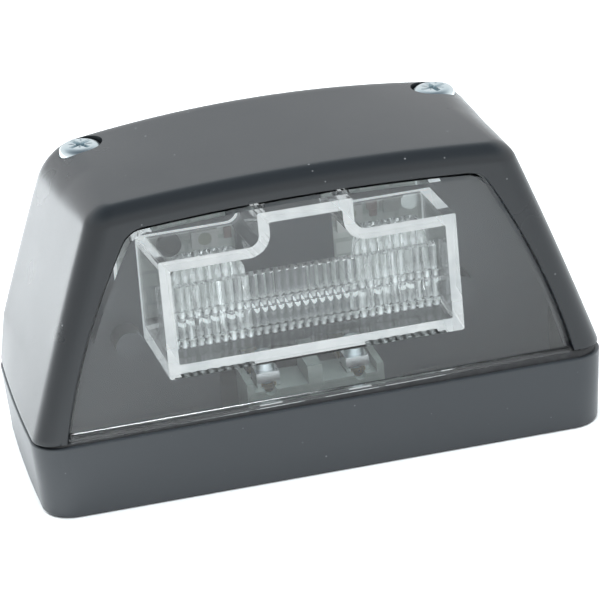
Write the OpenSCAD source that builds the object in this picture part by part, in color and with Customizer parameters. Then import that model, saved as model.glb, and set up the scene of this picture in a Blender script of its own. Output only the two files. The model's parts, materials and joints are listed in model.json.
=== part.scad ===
// Hooded number plate lamp: black base tray, black hood, clear lens with a moulded light box
// X runs along the width, Y from the lens face to the back, Z up from the mounting face

/* [Base] */
// Width of the base at its upper rim
base_w = 100; // [96:0.5:106]
// Depth of the base from front to back
base_d = 45; // [44:0.5:52]
// Height of the base tray
base_h = 13; // [11:0.5:16]
// How much each side wall leans out between the mounting face and the rim
base_draft = 1; // [0:0.1:2]
// Wall thickness of the base
base_wall = 2.2; // [1.8:0.1:2.6]
// Floor thickness of the base
base_floor = 2.2; // [1.6:0.1:3]
// Corner radius at the front of the base
base_front_r = 5.5; // [4:0.5:7]
// Corner radius at the back of the base
base_back_r = 8; // [6:0.5:10]
// Inward bow of the side walls at the back
side_bow = 1.9; // [0:0.1:3]
// Height over which the bow fades out in the hood
bow_rise = 8; // [6:1:30]

/* [Hood] */
// Overall height of the lamp at the crown of the hood
lamp_h = 54.6; // [54:0.1:60]
// Open joint between base and hood at the left end
gap_left = 0.5; // [0.3:0.1:1]
// Open joint between base and hood at the right end
gap_right = 1.5; // [0.8:0.1:2]
// Setback of the hood from the edge of the base
hood_setback = 0.3; // [0.1:0.1:0.8]
// Wall thickness of the hood
hood_wall = 2.4; // [2:0.1:2.8]
// Backward lean of the front frame in degrees
front_lean = 3; // [1:0.5:5]
// Lean of each side wall at the foot of the hood, in millimetres per millimetre of height
side_lean = 0.316; // [0.28:0.002:0.33]
// Added lean of the side walls for each millimetre of height
side_curve = 0.0008; // [0.0004:0.0002:0.0016]
// Drop of the top from its middle to its ends
crown = 3; // [1:0.1:3.2]
// Upright corner radius beside the front frame
hood_front_r = 4; // [3:0.5:5]
// Upright corner radius at the back of the hood
hood_back_r = 5.5; // [5:0.5:9]
// Fillet between front frame and top
top_front_r = 3; // [2.6:0.1:4]
// Fillet between side and top, from the middle of the side to the back
top_side_r = 5; // [3:0.1:5.2]
// Fillet between back and top
top_back_r = 6; // [4:0.5:7]

/* [Front opening] */
// Half width of the opening at the foot of the hood
open_half = 44.3; // [42:0.1:44.6]
// Height of the band that closes the hood above the opening
roof_band = 4.2; // [4.1:0.1:5.6]
// Lean of the opening's edges, in millimetres per millimetre of height
open_lean = 0.212; // [0.19:0.002:0.24]
// Added lean of the opening's edges for each millimetre of height
open_curve = 0.0052; // [0.0046:0.0002:0.006]
// Corner radius of the opening
open_r = 4.5; // [3:0.5:6]
// Arching of the opening's top edge
open_arch = 1; // [0.2:0.1:1.6]

/* [Lens] */
// Thickness of the clear front plate
plate_t = 2; // [1.6:0.1:2.4]
// Recess of the clear plate behind the front frame
plate_recess = 0.6; // [0.5:0.1:1]
// Clearance between plate and opening at the sides
lens_gap = 0.25; // [0.15:0.05:0.4]
// Clearance between plate and opening at the top
lens_top_gap = 0.6; // [0.3:0.1:1]
// Width of the bevel round the plate
plate_bevel = 1.1; // [0.6:0.1:1.4]
// Depth of the bevel round the plate
bevel_depth = 0.4; // [0.2:0.1:0.6]
// Height of the lip along the foot of the plate
lip_h = 1.2; // [1:0.1:2]
// Reach of the retaining flange behind the frame
flange_reach = 1.2; // [0.8:0.1:1.4]
// Thickness of the retaining flange
flange_t = 1; // [0.8:0.1:1.4]

/* [Light box] */
// Half width of the light box
box_half = 25.7; // [24:0.1:26.4]
// Underside of the light box above the foot of the hood
box_low = 7; // [6.4:0.1:8]
// Drop of the light box's raised middle below the top of the opening
box_drop = 2.6; // [2.2:0.1:3.4]
// Step from the raised middle down to the shoulders
box_step = 5.7; // [5:0.1:6.4]
// Half width of the raised middle
raise_half = 8.24; // [7.4:0.02:9]
// Radius where the raised middle meets the shoulders
raise_r = 2; // [1:0.1:2.5]
// Fall of the top walls from the plate to the back
box_fall = 2; // [1:0.1:2.6]
// Depth of the light box as a share of the depth of the base
box_share = 0.471; // [0.44:0.001:0.48]
// Thickness of the side and top walls of the light box
box_wall = 1.9; // [1.5:0.05:2.1]
// Thickness of the floor of the light box
box_floor = 2.4; // [1.8:0.1:2.8]
// Spread of each side wall from the plate to the back
box_spread = 0.4; // [0:0.1:0.6]

/* [Fluted optic] */
// Number of flutes across the optic
flute_count = 33; // [25:2:37]
// Distance of the optic's foot behind the front frame
optic_back = 9.1; // [8:0.1:9.6]
// Body thickness of the optic behind its flutes
optic_t = 1.6; // [1.2:0.1:2]
// Height of the lower row of flutes as a share of the light box's hollow
row_low_share = 0.345; // [0.3:0.005:0.38]
// Height of the upper row of flutes as a share of the light box's hollow
row_high_share = 0.392; // [0.34:0.004:0.43]
// Height of the foot under each row
foot_h = 1.5; // [1:0.1:2]
// How far the feet stand in front of the flutes
foot_step = 0.7; // [0.4:0.1:1]
// Depth of the flutes
flute_depth = 0.45; // [0.3:0.05:0.6]
// Clearance round the optic inside the light box
optic_gap = 0.25; // [0.15:0.05:0.4]
// Inner edge of each tall side lobe, from the middle
lobe_in = 9.6; // [8.6:0.1:11]
// Clearance between the side lobes and the ceiling of the light box
lobe_clear = 0.8; // [0.4:0.1:2]
// Thickness of the side lobes
lobe_t = 2; // [1.4:0.1:2.4]
// Pitch of the flutes on the back of the lobes
lobe_pitch = 2; // [1.6:0.1:2.6]

/* [Light shield] */
// Thickness of the black light shield
shield_t = 1.5; // [1.4:0.1:2]
// Gap between the light box and the shield
shield_gap = 0.25; // [0.15:0.05:0.4]
// Gap between the shield and the walls round it
shield_clear = 0.6; // [0.4:0.1:1]
// Half width of the solid bar between the two windows
window_bar = 8.4; // [7.6:0.1:9]
// Outer edge of each window, from the middle
window_out = 24.8; // [24.4:0.1:25.4]
// Inset of the window edges from the floor and the ceiling of the light box
window_inset = 0.4; // [0.2:0.1:0.4]
// Half width of the wire passage at the foot of the shield
notch_half = 13.5; // [12.8:0.1:15]
// Height of the wire passage
notch_h = 14.2; // [13.8:0.1:14.6]

/* [Circuit board] */
// Thickness of the circuit board
board_t = 1.6; // [1:0.1:2]
// Width of the circuit board
board_w = 64; // [62.5:0.5:68]
// Underside of the circuit board above the mounting face
board_z = 15.4; // [15:0.1:16]
// Reach of the circuit board above the ceiling of the light box
board_over = 0.6; // [0.4:0.1:1.8]
// Distance of each board screw from the middle
board_screw_x = 29.3; // [29:0.1:29.8]
// Height of the board screws above the mounting face
board_screw_z = 22; // [20:0.5:30]
// Thread diameter of the board screws
board_screw_d = 2.2; // [1.8:0.1:2.4]
// Width of a light emitting diode
led_w = 4.6; // [3.5:0.1:4.8]
// Height of a light emitting diode
led_h = 3.1; // [2.6:0.1:3.4]
// Thickness of a light emitting diode
led_t = 1.3; // [1.1:0.1:1.5]
// Place of the left diode from the middle
led_left_x = -13.8; // [-14.6:0.1:-12.6]
// Place of the right diode from the middle
led_right_x = 11.6; // [11.2:0.1:11.8]
// Distance of the diodes below the ceiling of the light box
led_drop = 2.4; // [2.3:0.1:4.2]

/* [Parts on the board] */
// Diameter of the round coil
coil_d = 4.1; // [3.6:0.1:4.3]
// Height of the round coil
coil_h = 1.3; // [1:0.1:1.6]
// Distance of the coil from the left diode
coil_gap = 6.2; // [5.6:0.1:6.6]
// Edge of the large square resistor
resistor_w = 1.8; // [1.4:0.1:2]
// Thickness of the resistors
resistor_t = 0.6; // [0.4:0.1:0.8]
// Distance of the resistors from the right diode
resistor_gap = 4.2; // [3.8:0.1:4.4]
// Width of the rectifier's body
rectifier_w = 2.8; // [2.4:0.1:3]
// Height of the rectifier's body
rectifier_h = 2.4; // [2:0.1:2.8]
// Thickness of the rectifier's body
rectifier_t = 1.1; // [0.8:0.1:1.3]
// Distance of the rectifier from the right diode
rectifier_gap = 7.5; // [7.3:0.1:7.7]
// Diameter of the round solder pad
solder_d = 3.2; // [2.4:0.1:3.3]
// Distance of the solder pad from the right diode
solder_gap = 11; // [10.9:0.1:11.4]
// Width of the driver chip
driver_w = 4.9; // [4.4:0.1:5.2]
// Height of the driver chip
driver_h = 3.9; // [3.4:0.1:4.2]
// Thickness of the driver chip
driver_t = 1.5; // [1.2:0.1:1.8]
// Diameter of the smoothing capacitor
capacitor_d = 6.3; // [5:0.1:6.6]
// Height of the smoothing capacitor
capacitor_h = 5.7; // [4.5:0.1:6.5]

/* [Fixings] */
// Distance of each cover screw from the end of the base
screw_side = 18.65; // [18:0.05:19.4]
// Distance of the cover screws from the back of the base
screw_back = 10; // [9:0.5:11]
// Thread diameter of the cover screws
screw_d = 4; // [3.5:0.1:4.2]
// Head diameter of the cover screws
head_d = 7.4; // [7:0.1:7.8]
// Head height of the cover screws
head_h = 2.4; // [2:0.1:2.8]
// Cross recess width of the cover screws
recess_w = 4.2; // [3.6:0.1:4.6]
// Underside of the washer below the crown of the hood
seat_drop = 4.7; // [4.5:0.1:5.6]
// Thickness of the sealing washer
washer_t = 0.8; // [0.5:0.1:1]
// Outer diameter of the posts and bosses for the cover screws
post_d = 8.4; // [8:0.1:9.6]
// Height of the screw bosses above the mounting face
boss_h = 20; // [18:0.5:24]
// Length of the threaded inserts
insert_len = 8; // [6:0.5:9]
// Outer diameter of the threaded inserts
insert_d = 5.8; // [5.4:0.1:6.2]

/* [Mounting] */
// Distance between the two mounting holes
mount_spacing = 60; // [56:0.5:64]
// Clearance between the mounting bosses and the light shield
mount_clear = 2.9; // [1.9:0.1:4.4]
// Diameter of the mounting holes
mount_d = 5.3; // [4.3:0.1:5.8]
// Wall of the metal sleeves in the mounting holes
sleeve_wall = 1; // [0.8:0.1:1.4]
// Height of the mounting bosses
mount_boss_h = 6; // [4:0.5:8]

/* [Cable passage] */
// Diameter of the cable passage
cable_d = 6; // [4.5:0.1:7]
// Wall of the grommet
grommet_wall = 2; // [1.6:0.1:2.4]
// Thickness of the grommet's outer flange
grommet_flange = 1; // [0.7:0.1:1.3]
// Distance of the cable passage from the back of the base
cable_back = 12; // [11:0.5:13]
// Height of the collar round the grommet
collar_h = 5; // [4:0.5:7]

/* [Terminals] */
// Distance of each terminal from the middle
clamp_x = 7.85; // [7:0.05:8.4]
// Distance of the terminals from the front of the base
clamp_y = 10.6; // [10.2:0.1:11.4]
// Width of a terminal clamp
clamp_w = 4; // [3.4:0.1:4.6]
// Depth of a terminal clamp
clamp_d = 4.6; // [4:0.1:5]
// Height of a terminal clamp
clamp_h = 5.4; // [5:0.1:6]
// Top of the clamps above the mounting face
clamp_top = 17; // [16.4:0.1:17.4]
// Half width of the terminal block
block_half = 12; // [11.6:0.1:12.4]
// Depth of the terminal block
block_d = 8; // [7.4:0.1:8.6]
// Thickness of the contact blades
blade_t = 0.8; // [0.5:0.1:1]

/* [Hidden] */

slip = 0.01;
far = 200;

// Main planes
front_y = -base_d / 2;
back_y = base_d / 2;
gap_mid = (gap_left + gap_right) / 2;
hood_z = base_h + gap_mid;
joint_angle = atan2(gap_right - gap_left, base_w);
lean_run = tan(front_lean);
hood_front = front_y + hood_setback;
hood_back = back_y - hood_setback - base_draft;
hood_half = base_w / 2 - hood_setback;

// Heights of the opening and the light box above the foot of the hood
open_h = lamp_h - hood_z - roof_band;
box_raise = open_h - box_drop;
box_shoulder = box_raise - box_step;
hollow_h = box_shoulder - box_fall - box_wall - box_low - box_floor;
floor_z = hood_z + box_low + box_floor;
ceiling_z = floor_z + hollow_h;

// Places behind the front frame
plate_back = plate_recess + plate_t;
box_end = hood_front + box_share * base_d;
shield_y = box_end + shield_gap;
board_y = shield_y + shield_t;
board_back = board_y + board_t;
optic_front = hood_front + optic_back;
optic_body = optic_front + foot_step + flute_depth;
optic_rear = optic_body + optic_t;
optic_half = box_half - box_wall - optic_gap;

// Rows and lobes of the optic
row_low_h = row_low_share * hollow_h;
row_high_h = row_high_share * hollow_h;
lobe_h = hollow_h - lobe_clear;

// Circuit board
board_top = ceiling_z + board_over;
board_mid = (board_z + board_top) / 2;
led_z = ceiling_z - led_drop;

// Cover screws
screw_x = base_w / 2 - screw_side;
post_y = back_y - screw_back;
seat_z = lamp_h - seat_drop;
head_z = seat_z + washer_t;
pocket_d = head_d + 0.6;
insert_top = boss_h - 0.5;
screw_tip = insert_top - insert_len + 1;

// Mounting holes and cable passage
sleeve_x = mount_spacing / 2;
sleeve_d = mount_d + 2 * sleeve_wall;
mount_boss_d = sleeve_d + 4.4;
sleeve_y = shield_y - mount_clear - mount_boss_d / 2;
grommet_y = back_y - cable_back;
grommet_d = cable_d + 2 * grommet_wall;
flange_d = grommet_d + 4;

// Terminal block under the light box
terminal_y = front_y + clamp_y;
block_top = clamp_top - 2.6;
clamp_bolt_d = 2.4;
clamp_z = clamp_top - clamp_h;
blade_z = clamp_z + 1.2;
blade_w = 2.4;

// Resolution of the moulded shells
arc_steps = 6;
side_steps = 3;
edge_steps = 12;
outer_levels = 8;
outer_fillet = 6;
inner_levels = 5;
inner_fillet = 3;

// Half width of the hood at a height above its foot
function hood_side(s) = hood_half - side_lean * s - side_curve * s * s;

// Half width of the front opening at a height above the foot of the hood
function open_side(s) = open_half - open_lean * s - open_curve * s * s;

// Inward bow of a side wall towards the back, fading out with height
function bow(y, s) = let (
    run = max(0, y - front_y - base_front_r) / (base_d - base_front_r)
) side_bow * run * run * max(0, 1 - s / bow_rise);

// Left half of an outline: the right half mirrored and walked back, without its first points
function mirrored(right, skip) = let (n = len(right))
    [for (i = [skip : n - 1]) [-right[n - 1 - i][0], right[n - 1 - i][1]]];

// Closed plan outline of a shell: 31 points along the front, then 29 along the back.
// Each point is [x, y, r], where r is the fillet radius of the top edge at that place.
function plan(hw, yf, yb, rf, rb, s, radii) = let (
    mid = (yf + yb) / 2,
    hf = hw - bow(yf + rf, s),
    hb = hw - bow(yb - rb, s),
    side_front = [for (i = [0 : side_steps - 1]) let (y = mid + (yf + rf - mid) * i / side_steps)
        [hw - bow(y, s), y, radii[1] + (radii[0] - radii[1]) * i / side_steps]],
    corner_front = [for (i = [0 : arc_steps]) let (a = 90 * i / arc_steps)
        [hf - rf + rf * cos(a), yf + rf - rf * sin(a), radii[0]]],
    edge_front = [for (i = [1 : edge_steps - 1])
        [(hf - rf) * (2 * i / edge_steps - 1), yf, radii[0]]],
    half_front = concat(side_front, corner_front),
    side_back = [for (i = [1 : side_steps - 1]) let (y = mid + (yb - rb - mid) * i / side_steps)
        [hw - bow(y, s), y, radii[1]]],
    corner_back = [for (i = [0 : arc_steps]) let (a = 90 * i / arc_steps)
        [hb - rb + rb * cos(a), yb - rb + rb * sin(a),
         radii[1] + (radii[2] - radii[1]) * i / arc_steps]],
    edge_back = [for (i = [1 : edge_steps - 1])
        [(hb - rb) * (1 - 2 * i / edge_steps), yb, radii[2]]],
    half_back = concat(side_back, corner_back),
    nf = len(half_front),
    nb = len(half_back)
) concat(
    [for (p = half_front) [-p[0], p[1], p[2]]],
    edge_front,
    [for (i = [1 : nf]) half_front[nf - i]],
    half_back,
    edge_back,
    [for (i = [1 : nb]) let (p = half_back[nb - i]) [-p[0], p[1], p[2]]]
);

// Faces that join stacked rings of n points: a closed foot, walls of triangles, and a top
// that is zipped across from the front half of the last ring to its back half
function skin(n, levels) = let (
    b = (levels - 1) * n,
    half = n / 2
) concat(
    [[for (i = [0 : n - 1]) i]],
    [for (k = [0 : levels - 2]) for (i = [0 : n - 1]) let (j = (i + 1) % n, lo = k * n, up = lo + n)
        each [[lo + i, up + i, up + j], [lo + i, up + j, lo + j]]],
    [[b, b + n - 1, b + 1], [b + half - 1, b + half + 1, b + half]],
    [for (i = [1 : half - 2])
        each [[b + i, b + n - i, b + n - i - 1], [b + i, b + n - i - 1, b + i + 1]]]
);

// One ring of the hood: t runs up the wall from 0 to 1, and phi turns over the top fillet
function hood_ring(t, phi, off, z_low) = let (
    radii = [for (r = [top_front_r, top_side_r, top_back_r]) max(0.6, r - off)],
    rf = max(1, hood_front_r - off),
    rb = max(1, hood_back_r - off),
    half_mid = hood_side((lamp_h - hood_z) / 2) - off,
    marks = plan(half_mid, hood_front + off, hood_back - off, rf, rb, 0, radii)
) [for (i = [0 : len(marks) - 1]) let (
    r = marks[i][2],
    share = marks[i][0] / half_mid,
    peak = lamp_h - off - crown * share * share,
    z = phi == 0 ? z_low + t * (peak - r - z_low) : peak - r + r * sin(phi),
    s = z - hood_z,
    d = r * (1 - cos(phi)),
    ring = plan(hood_side(s) - off - d, hood_front + off + lean_run * s + d,
        hood_back - off - d, max(0.8, rf - d), max(0.8, rb - d), s, radii)
) [ring[i][0], ring[i][1], z]];

// Outer form of the hood, or its cavity when off is the wall thickness
module hood_form(off, z_low, levels, fillet) {
    rings = concat(
        [for (k = [0 : levels]) hood_ring(k / levels, 0, off, z_low)],
        [for (k = [1 : fillet]) hood_ring(1, 90 * k / fillet, off, z_low)]
    );
    polyhedron(
        points = [for (ring = rings) each ring],
        faces = skin(len(rings[0]), len(rings))
    );
}

// Form of the base between two heights, set in from its outer walls
module tray_form(off, z0, z1) {
    rings = [for (z = [z0, z1]) [for (p = plan(
        base_w / 2 - base_draft * (1 - z / base_h) - off, front_y + off, back_y - off,
        max(1, base_front_r - off), max(1, base_back_r - off), 0, [1, 1, 1]))
        [p[0], p[1], z]]];
    polyhedron(points = concat(rings[0], rings[1]), faces = skin(len(rings[0]), 2));
}

// Everything on one side of the slanted joint between base and hood: up is 1 or -1
module beyond_joint(up) {
    translate([0, 0, hood_z])
        rotate([0, -joint_angle, 0])
            translate([-far / 2, -far / 2, up > 0 ? 0 : -far])
                cube([far, far, far]);
}

// Places a drawing on the front frame: x across, y up the frame, z out of the lamp
module on_frame(depth) {
    translate([0, hood_front, hood_z])
        rotate([90 - front_lean, 0, 0])
            translate([0, 0, -depth])
                children();
}

// Places a drawing on the board's front face: x across, y up, z towards the lens
module on_board() {
    translate([0, board_y, 0])
        rotate([90, 0, 0])
            children();
}

// Places a drawing on the board's back face, where z points away from the lens
module behind_board() {
    translate([0, board_back, 0])
        rotate([90, 0, 180])
            children();
}

// A piece drawn on the right, and its mirror image on the left
module both_sides() {
    for (flip = [0, 1])
        mirror([flip, 0, 0])
            children();
}

// Upright round bar
module post(x, y, z0, z1, d) {
    translate([x, y, z0])
        cylinder(h = z1 - z0, d = d, $fn = 48);
}

// Solid between two outlines with the same number of points, at two heights
module loft(lower, z0, upper, z1) {
    n = len(lower);
    polyhedron(
        points = concat([for (p = lower) [p[0], p[1], z0]], [for (p = upper) [p[0], p[1], z1]]),
        faces = concat(
            [[for (i = [0 : n - 1]) i]],
            [[for (i = [0 : n - 1]) 2 * n - 1 - i]],
            [for (i = [0 : n - 1]) let (j = (i + 1) % n)
                each [[i, n + i, n + j], [i, n + j, j]]]
        )
    );
}

// Outline of the front opening, smaller on each side by inset and at the top by drop
function opening(inset, drop, low) = let (
    top = open_h - drop,
    a0 = atan(open_lean + 2 * open_curve * (top - open_r)),
    sc = top - open_arch - open_r,
    s1 = sc + open_r * sin(a0),
    cx = open_side(s1) - inset - open_r * cos(a0),
    right = concat(
        [for (i = [0 : 8]) let (s = low + (s1 - low) * i / 8) [open_side(max(s, 0)) - inset, s]],
        [for (i = [1 : 7]) let (a = a0 + (90 - a0) * i / 7)
            [cx + open_r * cos(a), sc + open_r * sin(a)]],
        [for (i = [1 : 6]) let (x = cx * (1 - i / 6)) [x, top - open_arch * x * x / (cx * cx)]]
    )
) concat(right, mirrored(right, 1));

// Stepped outline of the light box, seen from the front, in heights above the foot
function box_outline(half, low, shoulder, raise, mid, r) = let (
    right = concat(
        [[half, low], [half, shoulder]],
        [for (i = [0 : 5]) let (a = 90 * i / 5) [mid + r - r * sin(a), shoulder + r - r * cos(a)]],
        [[mid, raise]]
    )
) concat(right, mirrored(right, 0));

// Walls of the light box: outer and inner outlines, joined from the leaning front to the upright end
module box_walls(y0, outer, inner, y1, outer_end, inner_end) {
    n = len(outer);
    rings = [
        [for (p = outer) [p[0], y0 + lean_run * p[1], hood_z + p[1]]],
        [for (p = outer_end) [p[0], y1, hood_z + p[1]]],
        [for (p = inner_end) [p[0], y1, hood_z + p[1]]],
        [for (p = inner) [p[0], y0 + lean_run * p[1], hood_z + p[1]]]
    ];
    polyhedron(
        points = [for (ring = rings) each ring],
        faces = [for (k = [0 : 3]) for (i = [0 : n - 1])
            let (j = (i + 1) % n, a = k * n, b = (k + 1) % 4 * n)
                each [[a + i, a + j, b + j], [a + i, b + j, b + i]]]
    );
}

// Row of half-round flutes in plan, from x0 to x1, with their crests at y_tip
function flutes(x0, x1, count, y_tip, depth) = [
    for (i = [0 : count - 1]) for (k = [0 : 5])
        [x0 + (x1 - x0) * (i + k / 6) / count, y_tip + depth * (1 - sin(180 * k / 6))]
];

// Solid bar with flutes along its front and a flat back
module flute_bar(half, count, y_tip, depth, y_flat, z0, h) {
    translate([0, 0, z0])
        linear_extrude(height = h)
            polygon(concat(flutes(-half, half, count, y_tip, depth),
                [[half, y_tip + depth], [half, y_flat], [-half, y_flat]]));
}

module base_housing() {
    rib_h = 4;
    web_end = base_w / 2 - base_draft - base_wall / 2 - bow(post_y, 0);
    web_start = screw_x + post_d / 2 - 0.6;
    color([0.16, 0.17, 0.18])
    difference() {
        union() {
            difference() {
                tray_form(0, 0, base_h);
                tray_form(base_wall, base_floor, base_h + 1);
            }
            both_sides() {
                // Boss under the hood's screw post, with a web to the side wall
                post(screw_x, post_y, base_floor - slip, boss_h, post_d);
                translate([web_start, post_y - 0.8, base_floor - slip])
                    cube([web_end - web_start, 1.6, base_h - base_floor - 3]);
                // Boss round the mounting hole
                post(sleeve_x, sleeve_y, base_floor - slip, mount_boss_h, mount_boss_d);
                // Guide ribs that hold the foot of the light shield
                for (y = [shield_y - 0.2 - 1.4, board_y + 0.2])
                    translate([19, y, base_floor - slip])
                        cube([6, 1.4, rib_h]);
            }
            // Collar round the cable grommet
            post(0, grommet_y, base_floor - slip, collar_h, grommet_d + 3.6);
        }
        both_sides() {
            post(screw_x, post_y, insert_top - insert_len - 2, boss_h + 1, insert_d);
            post(sleeve_x, sleeve_y, -1, mount_boss_h + 1, sleeve_d);
        }
        post(0, grommet_y, -1, collar_h + 1, grommet_d);
        // Pocket under the floor for the grommet's outer flange
        post(0, grommet_y, -1, grommet_flange, flange_d);
    }
}

module mounting_sleeves() {
    color([0.72, 0.6, 0.32])
    both_sides()
        difference() {
            post(sleeve_x, sleeve_y, 0.1, mount_boss_h, sleeve_d);
            post(sleeve_x, sleeve_y, -1, mount_boss_h + 1, mount_d);
        }
}

module cable_grommet() {
    lip_top = collar_h + 2;
    color([0.08, 0.08, 0.085])
    translate([0, grommet_y, 0])
    rotate_extrude($fn = 64)
    polygon([
        [cable_d / 2, 0.2],
        [flange_d / 2 - 0.1, 0.2],
        [flange_d / 2 - 0.1, grommet_flange],
        [grommet_d / 2, grommet_flange],
        [grommet_d / 2, collar_h],
        [grommet_d / 2 + 1.2, collar_h],
        [grommet_d / 2 + 0.6, collar_h + 1.2],
        [cable_d / 2 + 0.8, lip_top],
        [cable_d / 2, lip_top]
    ]);
}

module base_seal() {
    seal_in = 0.7;
    color([0.06, 0.06, 0.065])
    difference() {
        tray_form(seal_in, base_h, base_h + 2 * gap_right);
        tray_form(base_wall, base_h - 1, base_h + 2 * gap_right + 1);
        beyond_joint(1);
    }
}

module hood() {
    pad_d = pocket_d + 2.4;
    color([0.13, 0.135, 0.14])
    difference() {
        union() {
            difference() {
                hood_form(0, base_h - 2, outer_levels, outer_fillet);
                hood_form(hood_wall, base_h - 4, inner_levels, inner_fillet);
            }
            // Posts that stand on the base's bosses
            both_sides()
                post(screw_x, post_y, boss_h, seat_z, post_d);
            // Pads that join post, screw seat and top, kept inside the outer form
            intersection() {
                hood_form(hood_wall / 3, base_h - 4, inner_levels, inner_fillet);
                both_sides()
                    post(screw_x, post_y, seat_z - 3, lamp_h, pad_d);
            }
        }
        // Front opening, open at the foot
        on_frame(hood_wall + 3)
            linear_extrude(height = hood_wall + 8)
                polygon(opening(0, 0, -5));
        both_sides() {
            post(screw_x, post_y, boss_h - 1, seat_z + 1, screw_d + 0.5);
            post(screw_x, post_y, seat_z, lamp_h + 5, pocket_d);
        }
        beyond_joint(-1);
    }
}

module lens() {
    low = -3;
    lip_half = open_side(lip_h) - lens_gap;
    color([0.78, 0.85, 0.87, 0.4])
    difference() {
        union() {
            // Front plate with its bevelled border
            on_frame(plate_back)
                linear_extrude(height = plate_t - bevel_depth)
                    polygon(opening(lens_gap, lens_top_gap, low));
            on_frame(plate_back)
                loft(opening(lens_gap, lens_top_gap, low), plate_t - bevel_depth,
                    opening(lens_gap + plate_bevel, lens_top_gap + plate_bevel / 2, low), plate_t);
            // Retaining flange behind the front frame
            on_frame(plate_back)
                translate([0, 0, -flange_t])
                    linear_extrude(height = flange_t)
                        difference() {
                            polygon(opening(-flange_reach, -0.2, low));
                            polygon(opening(plate_bevel, plate_bevel, low - 1));
                        }
            // Lip along the foot
            on_frame(plate_back)
                linear_extrude(height = plate_back)
                    polygon([[-lip_half, low], [lip_half, low], [lip_half, lip_h], [-lip_half, lip_h]]);
            // Light box on the back of the plate, open at its end
            box_walls(
                hood_front + plate_recess + plate_t / 2,
                box_outline(box_half, box_low, box_shoulder, box_raise, raise_half, raise_r),
                box_outline(box_half - box_wall, box_low + box_floor, box_shoulder - box_wall,
                    box_raise - box_wall, raise_half - box_wall, raise_r + box_wall),
                box_end,
                box_outline(box_half + box_spread, box_low, box_shoulder - box_fall,
                    box_raise - box_fall, raise_half, raise_r),
                box_outline(box_half + box_spread - box_wall, box_low + box_floor,
                    box_shoulder - box_fall - box_wall, box_raise - box_fall - box_wall,
                    raise_half - box_wall, raise_r + box_wall)
            );
        }
        beyond_joint(-1);
    }
}

// Outline of a tall lobe of the optic, seen from the front, with rounded upper corners
function lobe_outline(x0, x1, r) = concat(
    [[x0, floor_z], [x1, floor_z]],
    [for (i = [0 : 5]) let (a = 90 * i / 5)
        [x1 - r + r * cos(a), floor_z + lobe_h - r + r * sin(a)]],
    [for (i = [0 : 5]) let (a = 90 + 90 * i / 5)
        [x0 + r + r * cos(a), floor_z + lobe_h - r + r * sin(a)]]
);

module fluted_optic() {
    lobe_out = optic_half - 1.2;
    lobe_count = round((lobe_out - lobe_in) / lobe_pitch);
    lobe_tip = optic_rear + lobe_t;
    color([0.8, 0.88, 0.9, 0.4])
    union() {
        // Each row of flutes stands on a foot that steps forward
        for (row = [[floor_z, row_low_h], [floor_z + row_low_h, row_high_h]]) {
            flute_bar(optic_half, flute_count, optic_front + foot_step, flute_depth,
                optic_rear, row[0], row[1]);
            flute_bar(optic_half, flute_count, optic_front, flute_depth,
                optic_rear, row[0], foot_h);
        }
        // Tall lobes in front of the diodes, fluted on the back
        both_sides()
            intersection() {
                linear_extrude(height = far)
                    polygon(concat(
                        [for (p = flutes(lobe_in, lobe_out, lobe_count, -lobe_tip, flute_depth))
                            [p[0], -p[1]]],
                        [[lobe_out, lobe_tip - flute_depth], [lobe_out, optic_rear - 0.5],
                            [lobe_in, optic_rear - 0.5]]
                    ));
                translate([0, far / 2, 0])
                    rotate([90, 0, 0])
                        linear_extrude(height = far)
                            polygon(lobe_outline(lobe_in, lobe_out, 2.4));
            }
    }
}

// Half width of the space inside base and hood at a height above the mounting face
function inner_half(z) = z < hood_z
    ? base_w / 2 - base_draft - base_wall - bow(board_y, 0)
    : hood_side(z - hood_z) - hood_wall - bow(board_y, z - hood_z);

module light_shield() {
    top = lamp_h - crown - hood_wall - shield_clear;
    foot = base_floor + 0.1;
    corner = 1.5;
    window_low = floor_z + window_inset;
    window_top = ceiling_z - window_inset;
    boss_len = shield_t + 4.5;
    levels = [foot, base_h, for (i = [0 : 3]) hood_z + 1 + (top - corner - hood_z - 1) * i / 3];
    right = concat(
        [[notch_half, foot]],
        [for (z = levels) [inner_half(z) - shield_clear, z]],
        [[inner_half(top) - shield_clear - corner, top]]
    );
    color([0.07, 0.07, 0.075])
    on_board()
    difference() {
        union() {
            linear_extrude(height = shield_t)
                polygon(concat(right, mirrored(right, 0),
                    [[-notch_half, notch_h], [notch_half, notch_h]]));
            // Screw bosses beside the light box
            both_sides()
                translate([board_screw_x, board_screw_z, 0])
                    cylinder(h = boss_len, d = board_screw_d + 2.8, $fn = 40);
        }
        both_sides() {
            translate([window_bar, window_low, -1])
                cube([window_out - window_bar, window_top - window_low, shield_t + 2]);
            translate([board_screw_x, board_screw_z, -1])
                cylinder(h = boss_len, d = board_screw_d, $fn = 40);
        }
    }
}

// Block on a board face with its centre at x and z
module chip(x, z, w, h, t) {
    translate([x - w / 2, z - h / 2, 0])
        cube([w, h, t]);
}

module circuit_board() {
    color([0.6, 0.66, 0.6])
    on_board()
    difference() {
        translate([-board_w / 2, board_z, -board_t])
            cube([board_w, board_top - board_z, board_t]);
        both_sides()
            translate([board_screw_x, board_screw_z, -board_t - 1])
                cylinder(h = board_t + 2, d = board_screw_d + 0.4, $fn = 40);
    }
}

// White package with a round pocket for the light emitting chip
module led_package(x) {
    on_board()
    difference() {
        chip(x, led_z, led_w, led_h, led_t);
        translate([x, led_z, 0.5])
            cylinder(h = led_t, d = led_h - 0.7, $fn = 40);
    }
}

module led_left() {
    color([0.93, 0.93, 0.9])
    led_package(led_left_x);
}

module led_right() {
    color([0.93, 0.93, 0.9])
    led_package(led_right_x);
}

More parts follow.
